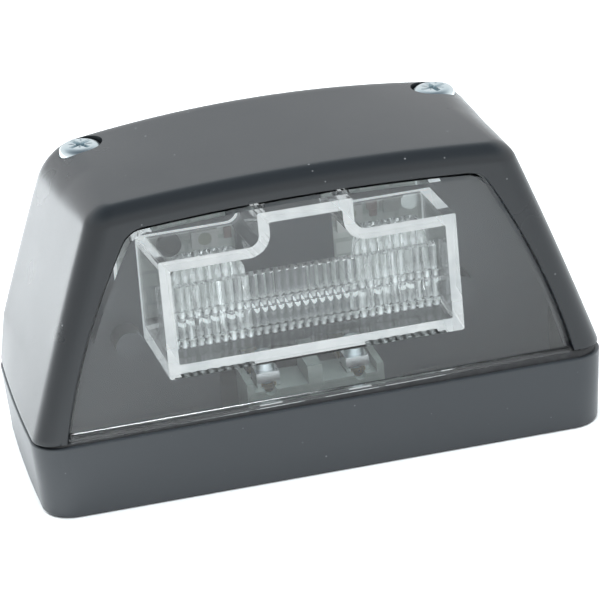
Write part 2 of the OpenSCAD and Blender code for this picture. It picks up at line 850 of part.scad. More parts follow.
module led_chips() {
    color([0.8, 0.78, 0.45])
    on_board()
    for (x = [led_left_x, led_right_x])
        translate([x, led_z, 0.5])
            cylinder(h = led_t - 0.7, d = led_h - 0.7, $fn = 40);
}

module choke_coil() {
    color([0.2, 0.21, 0.21])
    on_board()
    translate([led_left_x - coil_gap, led_z - 0.15, 0])
        difference() {
            cylinder(h = coil_h, d = coil_d, $fn = 40);
            translate([0, 0, coil_h - 0.3])
                cylinder(h = 1, d = coil_d - 1.5, $fn = 40);
        }
}

module resistors() {
    color([0.4, 0.32, 0.3])
    on_board() {
        chip(led_right_x + resistor_gap, led_z + 1, resistor_w, resistor_w, resistor_t);
        chip(led_right_x + resistor_gap + 0.2, led_z - 0.7,
            0.7 * resistor_w, 0.7 * resistor_w, resistor_t - 0.1);
        chip(led_left_x + resistor_gap, led_z + 0.2,
            0.7 * resistor_w, 1.1 * resistor_w, resistor_t - 0.1);
    }
}

module rectifier_diode() {
    color([0.75, 0.77, 0.74])
    on_board() {
        chip(led_right_x + rectifier_gap, led_z + 0.4, rectifier_w, rectifier_h, rectifier_t);
        // Tabs at both ends
        chip(led_right_x + rectifier_gap, led_z + 0.4, rectifier_w + 0.9, rectifier_h / 2, 0.3);
    }
}

module driver_chip() {
    pin_pitch = 1.27;
    color([0.1, 0.1, 0.1])
    behind_board() {
        chip(0, board_mid, driver_w, driver_h, driver_t);
        for (row = [-1, 1]) for (i = [0 : 3])
            chip((i - 1.5) * pin_pitch, board_mid + row * (driver_h / 2 + 0.45), 0.45, 1.2, 0.6);
    }
}

module smoothing_capacitor() {
    color([0.62, 0.63, 0.65])
    behind_board()
    translate([block_half, board_mid, 0]) {
        chip(0, 0, capacitor_d + 0.3, capacitor_d + 0.3, 0.8);
        cylinder(h = capacitor_h, d = capacitor_d, $fn = 48);
    }
}

module solder_pads() {
    pad_t = 0.2;
    color([0.82, 0.85, 0.83])
    on_board()
    translate([led_right_x + solder_gap, led_z + 0.3, 0])
        cylinder(h = pad_t, d = solder_d, $fn = 40);
}

module board_screws() {
    head = 4;
    head_t = 1.5;
    color([0.75, 0.77, 0.8])
    both_sides()
        translate([board_screw_x, board_back, board_screw_z])
            rotate([90, 0, 0]) {
                cylinder(h = board_t + shield_t + 3, d = board_screw_d, $fn = 40);
                translate([0, 0, -head_t])
                    difference() {
                        cylinder(h = head_t, d = head, $fn = 40);
                        for (arm = [0, 90])
                            rotate([0, 0, arm])
                                translate([-head / 2 + 0.7, -0.25, -0.5])
                                    cube([head - 1.4, 0.5, 1.2]);
                    }
            }
}

module contact_blades() {
    rise_y = board_back + 0.1;
    rise_z = board_z + 2.4;
    color([0.78, 0.64, 0.34])
    both_sides()
        translate([clamp_x - blade_w / 2, 0, blade_z]) {
            translate([0, terminal_y, 0])
                cube([blade_w, rise_y + blade_t - terminal_y, blade_t]);
            translate([0, rise_y, 0])
                cube([blade_w, blade_t, rise_z - blade_z]);
        }
}

module terminal_block() {
    front = terminal_y - block_d / 2;
    color([0.8, 0.84, 0.76])
    difference() {
        union() {
            translate([-block_half, front, base_floor])
                cube([2 * block_half, block_d, block_top - base_floor]);
            // Web between the two terminals
            translate([-1.3, front, base_floor])
                cube([2.6, block_d, clamp_top + 0.6 - base_floor]);
            both_sides()
                translate([block_half - 1.2, front, base_floor])
                    cube([1.2, block_d, clamp_top - 1 - base_floor]);
        }
        both_sides() {
            // Pocket for the clamp, open at the top
            translate([clamp_x - clamp_w / 2 - 0.1, terminal_y - clamp_d / 2 - 0.1, clamp_z])
                cube([clamp_w + 0.2, clamp_d + 0.2, far]);
            // Passage for the blade
            translate([clamp_x - blade_w / 2 - 0.2, terminal_y, blade_z - 0.2])
                cube([blade_w + 0.4, far, blade_t + 0.4]);
            // Wire hole at the front
            translate([clamp_x, terminal_y, blade_z + 1.6])
                rotate([90, 0, 0])
                    cylinder(h = block_d, d = 2, $fn = 32);
        }
    }
}

module terminal_clamps() {
    wall = 0.7;
    top_wall = 1.8;
    color([0.8, 0.82, 0.84])
    both_sides()
        translate([clamp_x, terminal_y, clamp_z])
        difference() {
            translate([-clamp_w / 2, -clamp_d / 2, 0])
                cube([clamp_w, clamp_d, clamp_h]);
            translate([-clamp_w / 2 + wall, -clamp_d, wall])
                cube([clamp_w - 2 * wall, 2 * clamp_d, clamp_h - wall - top_wall]);
            translate([0, 0, clamp_h - top_wall - 1])
                cylinder(h = top_wall + 2, d = clamp_bolt_d, $fn = 32);
        }
}

module terminal_screws() {
    head = 3.4;
    bolt_len = 2.6;
    color([0.75, 0.77, 0.8])
    both_sides()
        translate([clamp_x, terminal_y, clamp_top])
        difference() {
            union() {
                translate([0, 0, -bolt_len])
                    cylinder(h = bolt_len + slip, d = clamp_bolt_d, $fn = 32);
                cylinder(h = 1.2, d = head, $fn = 32);
            }
            translate([-head, -0.3, 0.6])
                cube([2 * head, 0.6, 1]);
        }
}

module threaded_insert(side) {
    color([0.78, 0.62, 0.3])
    difference() {
        post(side * screw_x, post_y, insert_top - insert_len, insert_top, insert_d);
        post(side * screw_x, post_y, insert_top - insert_len - 1, insert_top + 1, screw_d);
    }
}

module threaded_insert_left() {
    threaded_insert(-1);
}

module threaded_insert_right() {
    threaded_insert(1);
}

module screw_washer(side) {
    color([0.1, 0.1, 0.1])
    difference() {
        post(side * screw_x, post_y, seat_z, head_z, head_d + 0.3);
        post(side * screw_x, post_y, seat_z - 1, head_z + 1, screw_d + 0.2);
    }
}

module screw_washer_left() {
    screw_washer(-1);
}

module screw_washer_right() {
    screw_washer(1);
}

// Pan head screw with a cross recess, turned about its axis by the given angle
module cover_screw(side, turn) {
    rim = 0.9;
    slot = 0.9;
    slot_depth = 1.3;
    color([0.72, 0.76, 0.82])
    translate([side * screw_x, post_y, head_z])
    rotate([0, 0, turn])
    difference() {
        rotate_extrude($fn = 64)
            polygon(concat(
                [[0, screw_tip - head_z], [screw_d / 2 - 0.6, screw_tip - head_z],
                    [screw_d / 2, screw_tip - head_z + 0.8], [screw_d / 2, 0], [head_d / 2, 0]],
                [for (i = [0 : 6]) let (a = 90 * i / 6)
                    [(head_d / 2) * (0.55 + 0.45 * cos(a)), rim + (head_h - rim) * sin(a)]],
                [[0, head_h]]
            ));
        for (arm = [0, 90])
            rotate([0, 0, arm])
                translate([-recess_w / 2, -slot / 2, head_h - slot_depth])
                    cube([recess_w, slot, 2 * slot_depth]);
    }
}

module cover_screw_left() {
    cover_screw(-1, 30);
}

module cover_screw_right() {
    cover_screw(1, 12);
}

base_housing();
mounting_sleeves();
cable_grommet();
base_seal();
hood();
lens();
fluted_optic();
light_shield();
circuit_board();
led_left();
led_right();
led_chips();
choke_coil();
resistors();
rectifier_diode();
driver_chip();
smoothing_capacitor();
solder_pads();
board_screws();
contact_blades();
terminal_block();
terminal_clamps();
terminal_screws();
threaded_insert_left();
threaded_insert_right();
screw_washer_left();
screw_washer_right();
cover_screw_left();
cover_screw_right();
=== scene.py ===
# %% [markdown]
# # A hooded number plate lamp
#
# This lesson dresses a small car lamp for its picture: a black moulded hood on a black base tray,
# a clear lens with a stepped light box on its back, and a fluted optic inside that box. A packed
# model of plain solids comes first and fixes every size. The pieces that the eye rests on are then
# worked out again as smooth surfaces, and the rest keeps its solid and gets a finish.

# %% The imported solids
import json
import math

import bmesh
import bpy
import numpy as np
from mathutils import Matrix, Vector


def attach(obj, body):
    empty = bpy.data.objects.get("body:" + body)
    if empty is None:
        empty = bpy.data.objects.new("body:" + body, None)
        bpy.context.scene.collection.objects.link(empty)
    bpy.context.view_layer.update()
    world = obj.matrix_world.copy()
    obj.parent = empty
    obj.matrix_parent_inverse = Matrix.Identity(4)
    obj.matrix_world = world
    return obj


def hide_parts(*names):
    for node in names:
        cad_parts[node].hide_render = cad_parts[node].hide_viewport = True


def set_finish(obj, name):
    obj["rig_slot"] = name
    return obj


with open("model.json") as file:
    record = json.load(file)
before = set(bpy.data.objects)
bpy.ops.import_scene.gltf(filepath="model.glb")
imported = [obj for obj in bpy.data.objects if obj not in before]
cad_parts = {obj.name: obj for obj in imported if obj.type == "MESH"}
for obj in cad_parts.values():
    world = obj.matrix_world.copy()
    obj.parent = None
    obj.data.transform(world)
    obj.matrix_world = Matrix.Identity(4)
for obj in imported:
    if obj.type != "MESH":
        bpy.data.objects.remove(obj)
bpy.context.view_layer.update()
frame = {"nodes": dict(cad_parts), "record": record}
nodes = frame["nodes"]

# %% [markdown]
# ## Sizes
#
# Sizes are in millimetres, and those below match the solids. The lamp stands on the plane z = 0,
# its lens faces -y, and x runs to the right. The joint between base and hood is a slight wedge,
# so the foot of the hood rises by one part in a hundred from left to right.

# %% Sizes in millimetres
BASE_HALF, BASE_TOP, BASE_FRONT, BASE_BACK = 50.0, 13.0, -22.5, 22.5
HOOD_HALF, HOOD_FOOT, HOOD_TOP = 49.7, 14.0, 54.6
HOOD_FRONT, HOOD_BACK, WALL = -22.2, 21.2, 2.4
LEAN = math.radians(3)
WEDGE = 0.01
SCREW_X, SCREW_Y, SEAT, HEAD_FOOT = 31.35, 12.5, 49.9, 50.7
print("hood", 2 * HOOD_HALF, "mm wide at its foot and", HOOD_TOP, "mm high")

# %% [markdown]
# ## Helpers that turn arrays into meshes
#
# A surface here is a grid: an array of points with rows, columns and three coordinates. `weave`
# numbers its vertices and joins neighbours with quads, as whole arrays. `make_piece` stacks such
# grids, closes their seams by merging doubles, turns all faces outwards and marks the edges that
# should stay crisp. Its points are in millimetres, and the mesh is in metres.

# %% Grids and caps
def weave(points, ring=False, tube=False):
    """Vertices and quads of a grid: each cell joins point (i, j) with its next row and column.
    ring joins the last column to the first, and tube joins the last row to the first."""
    rows, cols = points.shape[:2]
    number = np.arange(rows * cols).reshape(rows, cols)
    if ring:
        number = np.concatenate([number, number[:, :1]], axis=1)
    if tube:
        number = np.concatenate([number, number[:1]], axis=0)
    quads = np.stack([number[:-1, :-1], number[:-1, 1:], number[1:, 1:], number[1:, :-1]], axis=-1)
    return points.reshape(-1, 3), quads.reshape(-1, 4).tolist()


def lid(points):
    """One flat many-sided face over a closed row of points."""
    return points, [list(range(len(points)))]


print("a ring of 4 by 8 points has", len(weave(np.zeros((4, 8, 3)), ring=True)[1]), "quads")

# %% Meshes and pieces
def to_mesh(name, parts, turn_out=True):
    """One mesh from several (vertices, faces) pairs, with doubles merged and no empty faces."""
    vertices, faces, start = [], [], 0
    for points, polygons in parts:
        vertices.append(points)
        faces += [[start + k for k in polygon] for polygon in polygons]
        start += len(points)
    mesh = bpy.data.meshes.new(name)
    mesh.from_pydata(np.concatenate(vertices) / 1000, [], faces)
    work = bmesh.new()
    work.from_mesh(mesh)
    bmesh.ops.remove_doubles(work, verts=work.verts, dist=2e-6)
    bmesh.ops.dissolve_degenerate(work, edges=work.edges, dist=1e-7)
    if turn_out:
        bmesh.ops.recalc_face_normals(work, faces=work.faces)
    work.to_mesh(mesh)
    work.free()
    return mesh


def crisp(piece, sharp=30):
    """Smooth shading that breaks at edges sharper than the given angle in degrees."""
    mesh = piece.data
    mesh.polygons.foreach_set("use_smooth", np.ones(len(mesh.polygons), bool))
    mesh.set_sharp_from_angle(angle=math.radians(sharp))
    return piece


def make_piece(name, parts, sharp=30):
    """A piece on the lamp's one body, smooth except along edges that turn by more than sharp."""
    piece = bpy.data.objects.new(name, to_mesh(name, parts))
    bpy.context.scene.collection.objects.link(piece)
    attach(piece, "root")
    return crisp(piece, sharp)


print("helpers for pieces ready")

# %% [markdown]
# ## Plan outline of the mouldings
#
# Base and hood share one kind of plan: straight front and back, rounded corners, and side walls
# that bow inwards towards the back. Each point of the outline belongs to a zone, and its place
# within the zone is a share q. The same point can then be placed for many heights at once, with
# the sizes given as arrays.

# %% One outline for both mouldings
SIDE, ARC, EDGE = 14, 14, 60


def zones():
    """Zone, share and side of each outline point: from the middle of the left side along the
    front to the right side, and back along the rear edge. Front and back have equal numbers."""
    side, arc, edge = np.arange(SIDE) / SIDE, np.arange(ARC + 1) / ARC, np.arange(1, EDGE) / EDGE * 2 - 1
    rear = np.arange(1, EDGE + 2) / (EDGE + 2) * 2 - 1
    runs = [(0, side, -1), (1, arc, -1), (2, edge, 1), (1, arc[::-1], 1), (0, side[::-1], 1),
            (3, side[1:], 1), (4, arc, 1), (5, -rear, 1), (4, arc[::-1], -1), (3, side[:0:-1], -1)]
    zone = np.concatenate([np.full(len(q), z) for z, q, _ in runs])
    share = np.concatenate([q for _, q, _ in runs])
    hand = np.concatenate([np.full(len(q), h) for _, q, h in runs])
    return zone, share, hand


ZONE, SHARE, HAND = zones()
COUNT = len(ZONE)


def bow(y, s):
    """Inward bow: 1.9 times the square of the run along the side, fading out over 8 mm of height."""
    run = np.clip(y - BASE_FRONT - 5.5, 0, None) / 39.5
    return 1.9 * run ** 2 * np.clip(1 - s / 8, 0, None)


def outline(half, front, back, r_front, r_back, s):
    """x and y of every outline point: along a side y runs straight between the corners, round a
    corner the point turns by q times a right angle, and along an edge x is q times its half."""
    turn = SHARE * np.pi / 2
    middle = (front + back) / 2
    half_f = half - bow(front + r_front, s)
    half_b = half - bow(back - r_back, s)
    y = np.select(
        [ZONE == 0, ZONE == 1, ZONE == 2, ZONE == 3, ZONE == 4, ZONE == 5],
        [middle + (front + r_front - middle) * SHARE, front + r_front * (1 - np.sin(turn)),
         front + 0 * s, middle + (back - r_back - middle) * SHARE,
         back - r_back * (1 - np.sin(turn)), back + 0 * s])
    x = np.select(
        [(ZONE == 0) | (ZONE == 3), ZONE == 1, ZONE == 4, ZONE == 2, ZONE == 5],
        [half - bow(y, s), half_f - r_front * (1 - np.cos(turn)),
         half_b - r_back * (1 - np.cos(turn)), (half_f - r_front) * SHARE, (half_b - r_back) * SHARE])
    return x * HAND, y


print(COUNT, "points round each outline")

# %% [markdown]
# ## Base tray
#
# The real base is a shallow moulded tray. Its wall could be a cube with bevels, but the corners
# have different radii and the sides lean and bow, so the cross-section of the wall is carried
# round the outline instead: out from the underside, round the foot, up the wall, over the rim and
# down inside. Small radii at foot and rim catch the light as on a moulded edge.

# %% Section of the tray's wall
def round_edge(start, end, centre, steps=5):
    """Quarter round from start to end, all as (inset, height) pairs: the centre, plus the arm to
    the start times the cosine of a, plus the arm to the end times its sine."""
    return [tuple(c + (p - c) * math.cos(a) + (q - c) * math.sin(a)
                  for p, q, c in zip(start, end, centre)) for a in np.linspace(0, np.pi / 2, steps)]


def tray_rows(profile):
    """Rows of the tray: each (inset, height) of the profile is one turn of the outline. The side
    walls lean out by 1 mm between the underside and the rim."""
    rows = []
    for inset, z in profile:
        flat = np.zeros(COUNT)
        x, y = outline(BASE_HALF - (1 - z / BASE_TOP) - inset + flat, BASE_FRONT + inset + flat,
                       BASE_BACK - inset + flat, max(1.0, 5.5 - inset) + flat,
                       max(1.0, 8.0 - inset) + flat, flat)
        rows.append(np.stack([x, y, np.full(COUNT, z)], axis=-1))
    return np.array(rows)


foot = round_edge((0.6, 0), (0, 0.6), (0.6, 0.6))
rim = round_edge((0, 12.65), (0.35, 13), (0.35, 12.65))
inner_rim = round_edge((1.95, 13), (2.2, 12.75), (1.95, 12.75))
tray = tray_rows(foot + rim + inner_rim + [(2.2, 3.0), (2.4, 2.4), (3.0, 2.2)])
print(len(tray), "turns of the outline")

# %% [markdown]
# ## Bosses and bores
#
# Bosses for the cover screws, the mounting sleeves and the cable's grommet stand in the tray, with
# holes through them. Each is a plain turned solid, and so is each hole, so they are joined on and
# cut out with an exact Boolean step, which leaves the rest of the computed surface as it is.

# %% Joining and cutting
def carve(piece, parts, how="DIFFERENCE", sharp=30):
    """Cuts the closed surface made of parts out of a piece, or joins it with how='UNION'."""
    tool = bpy.data.objects.new("carving_tool", to_mesh("carving_tool", parts))
    bpy.context.scene.collection.objects.link(tool)
    step = piece.modifiers.new("carve", "BOOLEAN")
    step.object, step.operation, step.solver = tool, how, "EXACT"
    bpy.context.view_layer.update()
    shaped = piece.evaluated_get(bpy.context.evaluated_depsgraph_get())
    piece.data = bpy.data.meshes.new_from_object(shaped)
    piece.modifiers.clear()
    bpy.data.objects.remove(tool)
    return crisp(piece, sharp)


print("joining and cutting ready")

# %% Turned solids and blocks
def turned(profile, x, y, steps=96):
    """Closed turned solid: each (radius, height) of the profile goes round the axis at x, y."""
    radius, height = np.array(profile, float).T
    angle = np.linspace(0, 2 * np.pi, steps, endpoint=False)
    grid = np.stack([x + radius[:, None] * np.cos(angle), y + radius[:, None] * np.sin(angle),
                     np.repeat(height[:, None], steps, axis=1)], axis=-1)
    return [weave(grid, ring=True), lid(grid[0]), lid(grid[-1])]


def block(low, high):
    """Closed box between two corners."""
    corner = np.array([[low[0], low[1]], [high[0], low[1]], [high[0], high[1]], [low[0], high[1]]])
    grid = np.stack([np.c_[corner, np.full(4, z)] for z in (low[2], high[2])])
    return [weave(grid, ring=True), lid(grid[0]), lid(grid[-1])]


def show(piece):
    """Prints how many faces a piece has and where it ends."""
    points = np.array([v.co for v in piece.data.vertices]) * 1000
    low, high = np.round(points.min(0), 1), np.round(points.max(0), 1)
    print(piece.name, len(piece.data.polygons), "faces,", low, high)


print("a turned solid has", len(turned([(1, 0), (1, 1)], 0, 0)), "surfaces")

# %% Base tray
BURIED = 2.0  # height inside the tray's floor where bosses and ribs start
POST_R, POST_TOP, INSERT_R, INSERT_FOOT = 4.2, 20.0, 2.9, 9.5
SLEEVE_X, SLEEVE_Y, SLEEVE_R, SLEEVE_BOSS_R, SLEEVE_BOSS_TOP = 30, -9.505, 3.65, 5.85, 6.0
INLET_Y, INLET_R, INLET_BOSS_R, INLET_BOSS_TOP, GROMMET_R = 10.5, 5.0, 6.8, 5.0, 7.0
RIB_FROM, RIB_TO, RIB_TOP, RIB_THICK, RIB_FRONTS = 19, 25, 6.2, 1.4, (-2.355, 0.945)


def boss(radius, top, x, y):
    """Turned boss from inside the floor to its top, with its upper edge broken by 0.3 mm."""
    return turned([(radius, BURIED), (radius, top - 0.3), (radius - 0.3, top)], x, y)


base = make_piece("base_moulding", [weave(tray, ring=True), lid(tray[0]), lid(tray[-1])])
for side in (-1, 1):
    carve(base, boss(POST_R, POST_TOP, side * SCREW_X, SCREW_Y), "UNION")
    carve(base, boss(SLEEVE_BOSS_R, SLEEVE_BOSS_TOP, side * SLEEVE_X, SLEEVE_Y), "UNION")
    carve(base, turned([(INSERT_R, INSERT_FOOT), (INSERT_R, POST_TOP + 1)], side * SCREW_X, SCREW_Y))
    carve(base, turned([(SLEEVE_R, -1), (SLEEVE_R, SLEEVE_BOSS_TOP + 1)], side * SLEEVE_X, SLEEVE_Y))
    rib_left, rib_right = sorted((RIB_FROM * side, RIB_TO * side))
    for y in RIB_FRONTS:
        carve(base, block((rib_left, y, BURIED), (rib_right, y + RIB_THICK, RIB_TOP)), "UNION")
carve(base, boss(INLET_BOSS_R, INLET_BOSS_TOP, 0, INLET_Y), "UNION")
carve(base, turned([(INLET_R, -1), (INLET_R, INLET_BOSS_TOP + 1)], 0, INLET_Y))
carve(base, turned([(GROMMET_R, -1), (GROMMET_R, 1.0)], 0, INLET_Y))
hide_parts("base_housing")
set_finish(base, "base_plastic")
show(base)

# %% [markdown]
# ## Seal in the joint
#
# A dark gasket fills the wedge-shaped joint. It is only a narrow shadow line in the picture, so a
# short wall with a slightly rounded lip, carried round the same outline, is enough.

# %% Seal
def wedge(x):
    """Height of the joint plane at x."""
    return HOOD_FOOT + WEDGE * x


low = tray_rows([(2.2, BASE_TOP), (0.7, BASE_TOP)])
high = tray_rows([(0.7, BASE_TOP), (0.9, BASE_TOP), (2.0, BASE_TOP), (2.2, BASE_TOP)])
high[:, :, 2] = wedge(high[:, :, 0]) - np.array([0.2, 0.01, 0.01, 0.2])[:, None]
seal = make_piece("seal_moulding", [weave(np.concatenate([low, high]), ring=True, tube=True)], sharp=50)
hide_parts("base_seal")
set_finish(seal, "black_rubber")
show(seal)

# %% [markdown]
# ## Hood
#
# The hood is the form that everyone sees first. Its plan shrinks with height, its edges roll over
# into a gently crowned top, and the radius of that roll changes from front to side to back. One
# function places any ring of it, so the same code gives the outer skin and, with an inset, the
# inner one. Subdivision would blur the crisp front frame, and a plain bevel could not change its
# radius, so the surface is computed.

# %% Radii, sides and top of the hood
CORNER_FRONT, CORNER_BACK = 4.0, 5.5
EDGE_FRONT, EDGE_SIDE, EDGE_BACK = 3.0, 5.0, 6.0
FRONT_CROWN, BACK_CROWN, CROWN_RUN = 1.4, 3.0, 34
R_TOP = np.select([ZONE == 0, ZONE == 3, ZONE == 4, ZONE == 5],
                  [EDGE_SIDE - (EDGE_SIDE - EDGE_FRONT) * SHARE, EDGE_SIDE,
                   EDGE_SIDE + (EDGE_BACK - EDGE_SIDE) * SHARE, EDGE_BACK], EDGE_FRONT)


def hood_side(s):
    """Half width of the hood: its half at the foot less 0.316 s and 0.0008 s squared."""
    return HOOD_HALF - 0.316 * s - 0.0008 * s * s


def top_height(x, y):
    """Height of the crowned top: it sinks by the crown times the square of x over 34 mm, and the
    crown grows from 1.4 mm at the front to 3 mm at the back with the square of the depth."""
    share = np.clip((y - HOOD_FRONT) / (HOOD_BACK - HOOD_FRONT), 0, 1)
    return HOOD_TOP - (FRONT_CROWN + (BACK_CROWN - FRONT_CROWN) * share ** 2) * (x / CROWN_RUN) ** 2


print("radius of the top edge", R_TOP.min(), "to", R_TOP.max(), "mm")

# %% Rings of the hood
def hood_ring(climb, roll, inset, lift=0.0):
    """One ring: climb runs up the wall from 0 to 1, and roll turns over the top edge from 0 to a
    right angle. The edge draws the outline in by r (1 - cos roll) and lowers it by
    r (1 - sin roll). Height and outline depend on each other, so a few rounds settle them."""
    radius = np.clip(R_TOP - inset, 0.6, None)
    r_front, r_back = max(1.0, CORNER_FRONT - inset), max(1.0, CORNER_BACK - inset)
    draw = radius * (1 - math.cos(roll))
    z = np.full(COUNT, HOOD_TOP)
    for _ in range(5):
        s = z - HOOD_FOOT
        x, y = outline(hood_side(s) - inset - draw, HOOD_FRONT + inset + math.tan(LEAN) * s + draw,
                       HOOD_BACK - inset - draw, np.clip(r_front - draw, 0.8, None),
                       np.clip(r_back - draw, 0.8, None), s)
        z = top_height(x, y) - inset - radius * (1 - math.sin(roll))
    if climb < 1:
        flat = np.zeros(COUNT)
        foot_x, _ = outline(HOOD_HALF - inset + flat, HOOD_FRONT + inset + flat,
                            HOOD_BACK - inset + flat, r_front + flat, r_back + flat, flat)
        foot_z = HOOD_FOOT + WEDGE * foot_x + lift
        z = foot_z + climb * (z - foot_z)
        s = z - HOOD_FOOT
        x, y = outline(hood_side(s) - inset, HOOD_FRONT + inset + math.tan(LEAN) * s,
                       HOOD_BACK - inset + 0 * s, r_front + 0 * s, r_back + 0 * s, s)
    return np.stack([x, y, z], axis=-1)


def hood_skin(inset, edge):
    """Wall rings, rolled top edge and crown of one skin. edge is the small radius at the foot. The
    crown runs inwards from the rolled edge to a line along x, which front and back share."""
    turn = np.linspace(0, np.pi / 2, 4)[:-1]
    wall = [hood_ring(0, 0, inset + edge * (1 - math.sin(a)), edge * (1 - math.cos(a)))
            for a in turn] if edge else []
    wall += [hood_ring(t, 0, inset, edge) for t in np.linspace(0, 1, 59 - len(wall))]
    rolled = np.array([hood_ring(1, a, inset) for a in np.linspace(0, np.pi / 2, 15)])
    last = rolled[-1, :, :2]
    reach = 0.6 * np.abs(last[:, 0]).max() * np.linspace(-1, 1, COUNT // 2)
    spine = np.stack([np.concatenate([reach, reach[::-1]]), np.full(COUNT, last[:, 1].mean())], axis=-1)
    share = np.linspace(0, 1, 22)[:, None, None]
    flat = last * (1 - share) + spine * share
    crown = np.concatenate([flat, top_height(flat[..., :1], flat[..., 1:]) - inset], axis=-1)
    return np.array(wall), rolled, crown


outer_wall, outer_roll, outer_crown = hood_skin(0, 0.3)
inner_wall, inner_roll, inner_crown = hood_skin(WALL, 0)
print("outer skin", outer_wall.shape, outer_roll.shape, outer_crown.shape)

# %% [markdown]
# ## Front opening
#
# The opening is an arch with leaning, slightly curved sides and a nearly flat top. It lies in the
# leaning front plane, so its outline is drawn flat, as (x, v) with v up the plane, and then tilted
# into place. The frame round it is a ruled strip between that outline and the ends of the wall
# rings, and the rim of the opening is rolled by a third of a millimetre, which gives the fine
# bright line round the lens.

# %% Sides and top of the opening
OPEN_HALF, OPEN_LEAN, OPEN_CURVE = 44.3, 0.212, 0.0052
OPEN_TOP, OPEN_CORNER, OPEN_ARCH = 36.4, 4.5, 1.0


def open_side(v):
    """Half width of the opening: 44.3 less 0.212 v and 0.0052 v squared, constant below the foot."""
    v = np.clip(v, 0, None)
    return OPEN_HALF - OPEN_LEAN * v - OPEN_CURVE * v * v


def arch(inset=0.0, drop=0.0, fine=1):
    """Outline of the opening from the left foot over the top to the right foot: a leaning side, a
    corner arc and half of the shallow top arch, then its mirror image. inset moves the sides in,
    and drop moves the top down."""
    top = OPEN_TOP - drop
    start = math.atan(OPEN_LEAN + 2 * OPEN_CURVE * (top - OPEN_CORNER))
    centre_v = top - OPEN_ARCH - OPEN_CORNER
    side_v = centre_v + OPEN_CORNER * math.sin(start)
    centre_x = open_side(side_v) - inset - OPEN_CORNER * math.cos(start)
    v = np.linspace(0, side_v, 24 * fine)
    turn = np.linspace(start, np.pi / 2, 14 * fine)[1:]
    x_top = np.linspace(centre_x, 0, 20 * fine)[1:]
    x = np.concatenate([open_side(v) - inset, centre_x + OPEN_CORNER * np.cos(turn), x_top])
    v = np.concatenate([v, centre_v + OPEN_CORNER * np.sin(turn),
                        top - OPEN_ARCH * (x_top / centre_x) ** 2])
    half = np.stack([x, v], axis=-1)
    half[0, 1] = WEDGE * half[0, 0]
    other = half * (-1, 1)
    other[0, 1] = -WEDGE * half[0, 0]
    return np.concatenate([other[:-1], half[::-1]])


print("opening", round(2 * open_side(0), 1), "mm wide at its foot")

# %% From flat outlines to the front of the hood
def on_front(flat, depth):
    """Places flat (x, v) pairs at a depth behind the leaning front plane: y grows by v times the
    sine of the lean and depth times its cosine, and z by v times the cosine less depth times
    the sine."""
    x, v = flat[..., 0], flat[..., 1]
    return np.stack([x, HOOD_FRONT + v * math.sin(LEAN) + depth * math.cos(LEAN),
                     HOOD_FOOT + v * math.cos(LEAN) - depth * math.sin(LEAN)], axis=-1)


def spread(line, counts):
    """Points along a line, in runs: counts holds (share of the line where a run ends, steps)."""
    length = np.concatenate([[0], np.cumsum(np.linalg.norm(np.diff(line, axis=0), axis=1))])
    length /= length[-1]
    marks, last = [np.zeros(1)], 0.0
    for end, steps in counts:
        marks.append(np.linspace(last, end, steps + 1)[1:])
        last = end
    marks = np.concatenate(marks)
    return np.stack([np.interp(marks, length, line[:, k]) for k in range(line.shape[1])], axis=-1)


def outward(line):
    """Unit directions across a flat line, away from the opening's middle."""
    along = np.gradient(line, axis=0)
    across = np.stack([-along[:, 1], along[:, 0]], axis=-1)
    across /= np.linalg.norm(across, axis=1, keepdims=True)
    flip = np.sum(across * (line - (0, 15)), axis=1, keepdims=True) < 0
    return np.where(flip, -across, across)


LEFT_END, RIGHT_END = SIDE + ARC, SIDE + ARC + EDGE
wall_columns = np.r_[RIGHT_END:COUNT, 0:LEFT_END + 1]
top_columns = np.arange(LEFT_END, RIGHT_END + 1)


def frame_border(wall, rolled):
    """Border of the front frame: up the left end of the wall rings, along the rolled edge, down."""
    return np.concatenate([wall[:, LEFT_END], rolled[0, top_columns[1:-1]], wall[::-1, RIGHT_END]])


climb_steps = len(outer_wall) - 1
CORNER_SHARE = 0.295  # share of the opening's outline up to the middle of its first corner
rim_line = spread(arch(fine=8), [(CORNER_SHARE, climb_steps), (1 - CORNER_SHARE, EDGE), (1, climb_steps)])
print("opening", round(np.ptp(rim_line[:, 0]), 1), "mm wide,", len(rim_line), "points")

# %% Hood moulding
RIM = 0.35


def frame_strip(border, depth, rolled_rim):
    """Ruled strip: the border times (1 - share) plus the rim times the share. A rolled rim ends
    in a quarter round."""
    away = outward(rim_line)
    edge_line = on_front(rim_line + away * (RIM if rolled_rim else 0), depth)
    share = np.linspace(0, 1, 7)[:, None, None]
    rows = list(border * (1 - share) + edge_line * share)
    if rolled_rim:
        rows += [on_front(rim_line + away * RIM * (1 - math.sin(a)), RIM * (1 - math.cos(a)))
                 for a in np.linspace(0, np.pi / 2, 6)[1:]]
    return np.array(rows)


outer_frame = frame_strip(frame_border(outer_wall, outer_roll), 0, True)
inner_frame = frame_strip(frame_border(inner_wall, inner_roll), WALL * math.cos(LEAN), False)
foot_strip = np.stack([outer_wall[0, wall_columns], inner_wall[0, wall_columns]])
opening_wall = np.stack([outer_frame[-1], inner_frame[-1]])
frame_feet = [lid(np.concatenate([outer_frame[:, k], inner_frame[::-1, k]])) for k in (0, -1)]
hood = make_piece("hood_moulding", [
    weave(outer_wall[:, wall_columns]), weave(outer_roll, ring=True), weave(outer_crown, ring=True),
    weave(inner_wall[:, wall_columns]), weave(inner_roll, ring=True), weave(inner_crown, ring=True),
    weave(outer_frame), weave(inner_frame), weave(foot_strip), weave(opening_wall), *frame_feet])
show(hood)

# %% [markdown]
# ## Screw recesses
#
# Two deep round recesses hold the heads of the cover screws, and a hollow post under each one
# stands on the base. Turned solids are the natural way to make both: each post is trimmed to lie
# within the hood's skin and joined to it, then the recess and the screw hole are cut through.

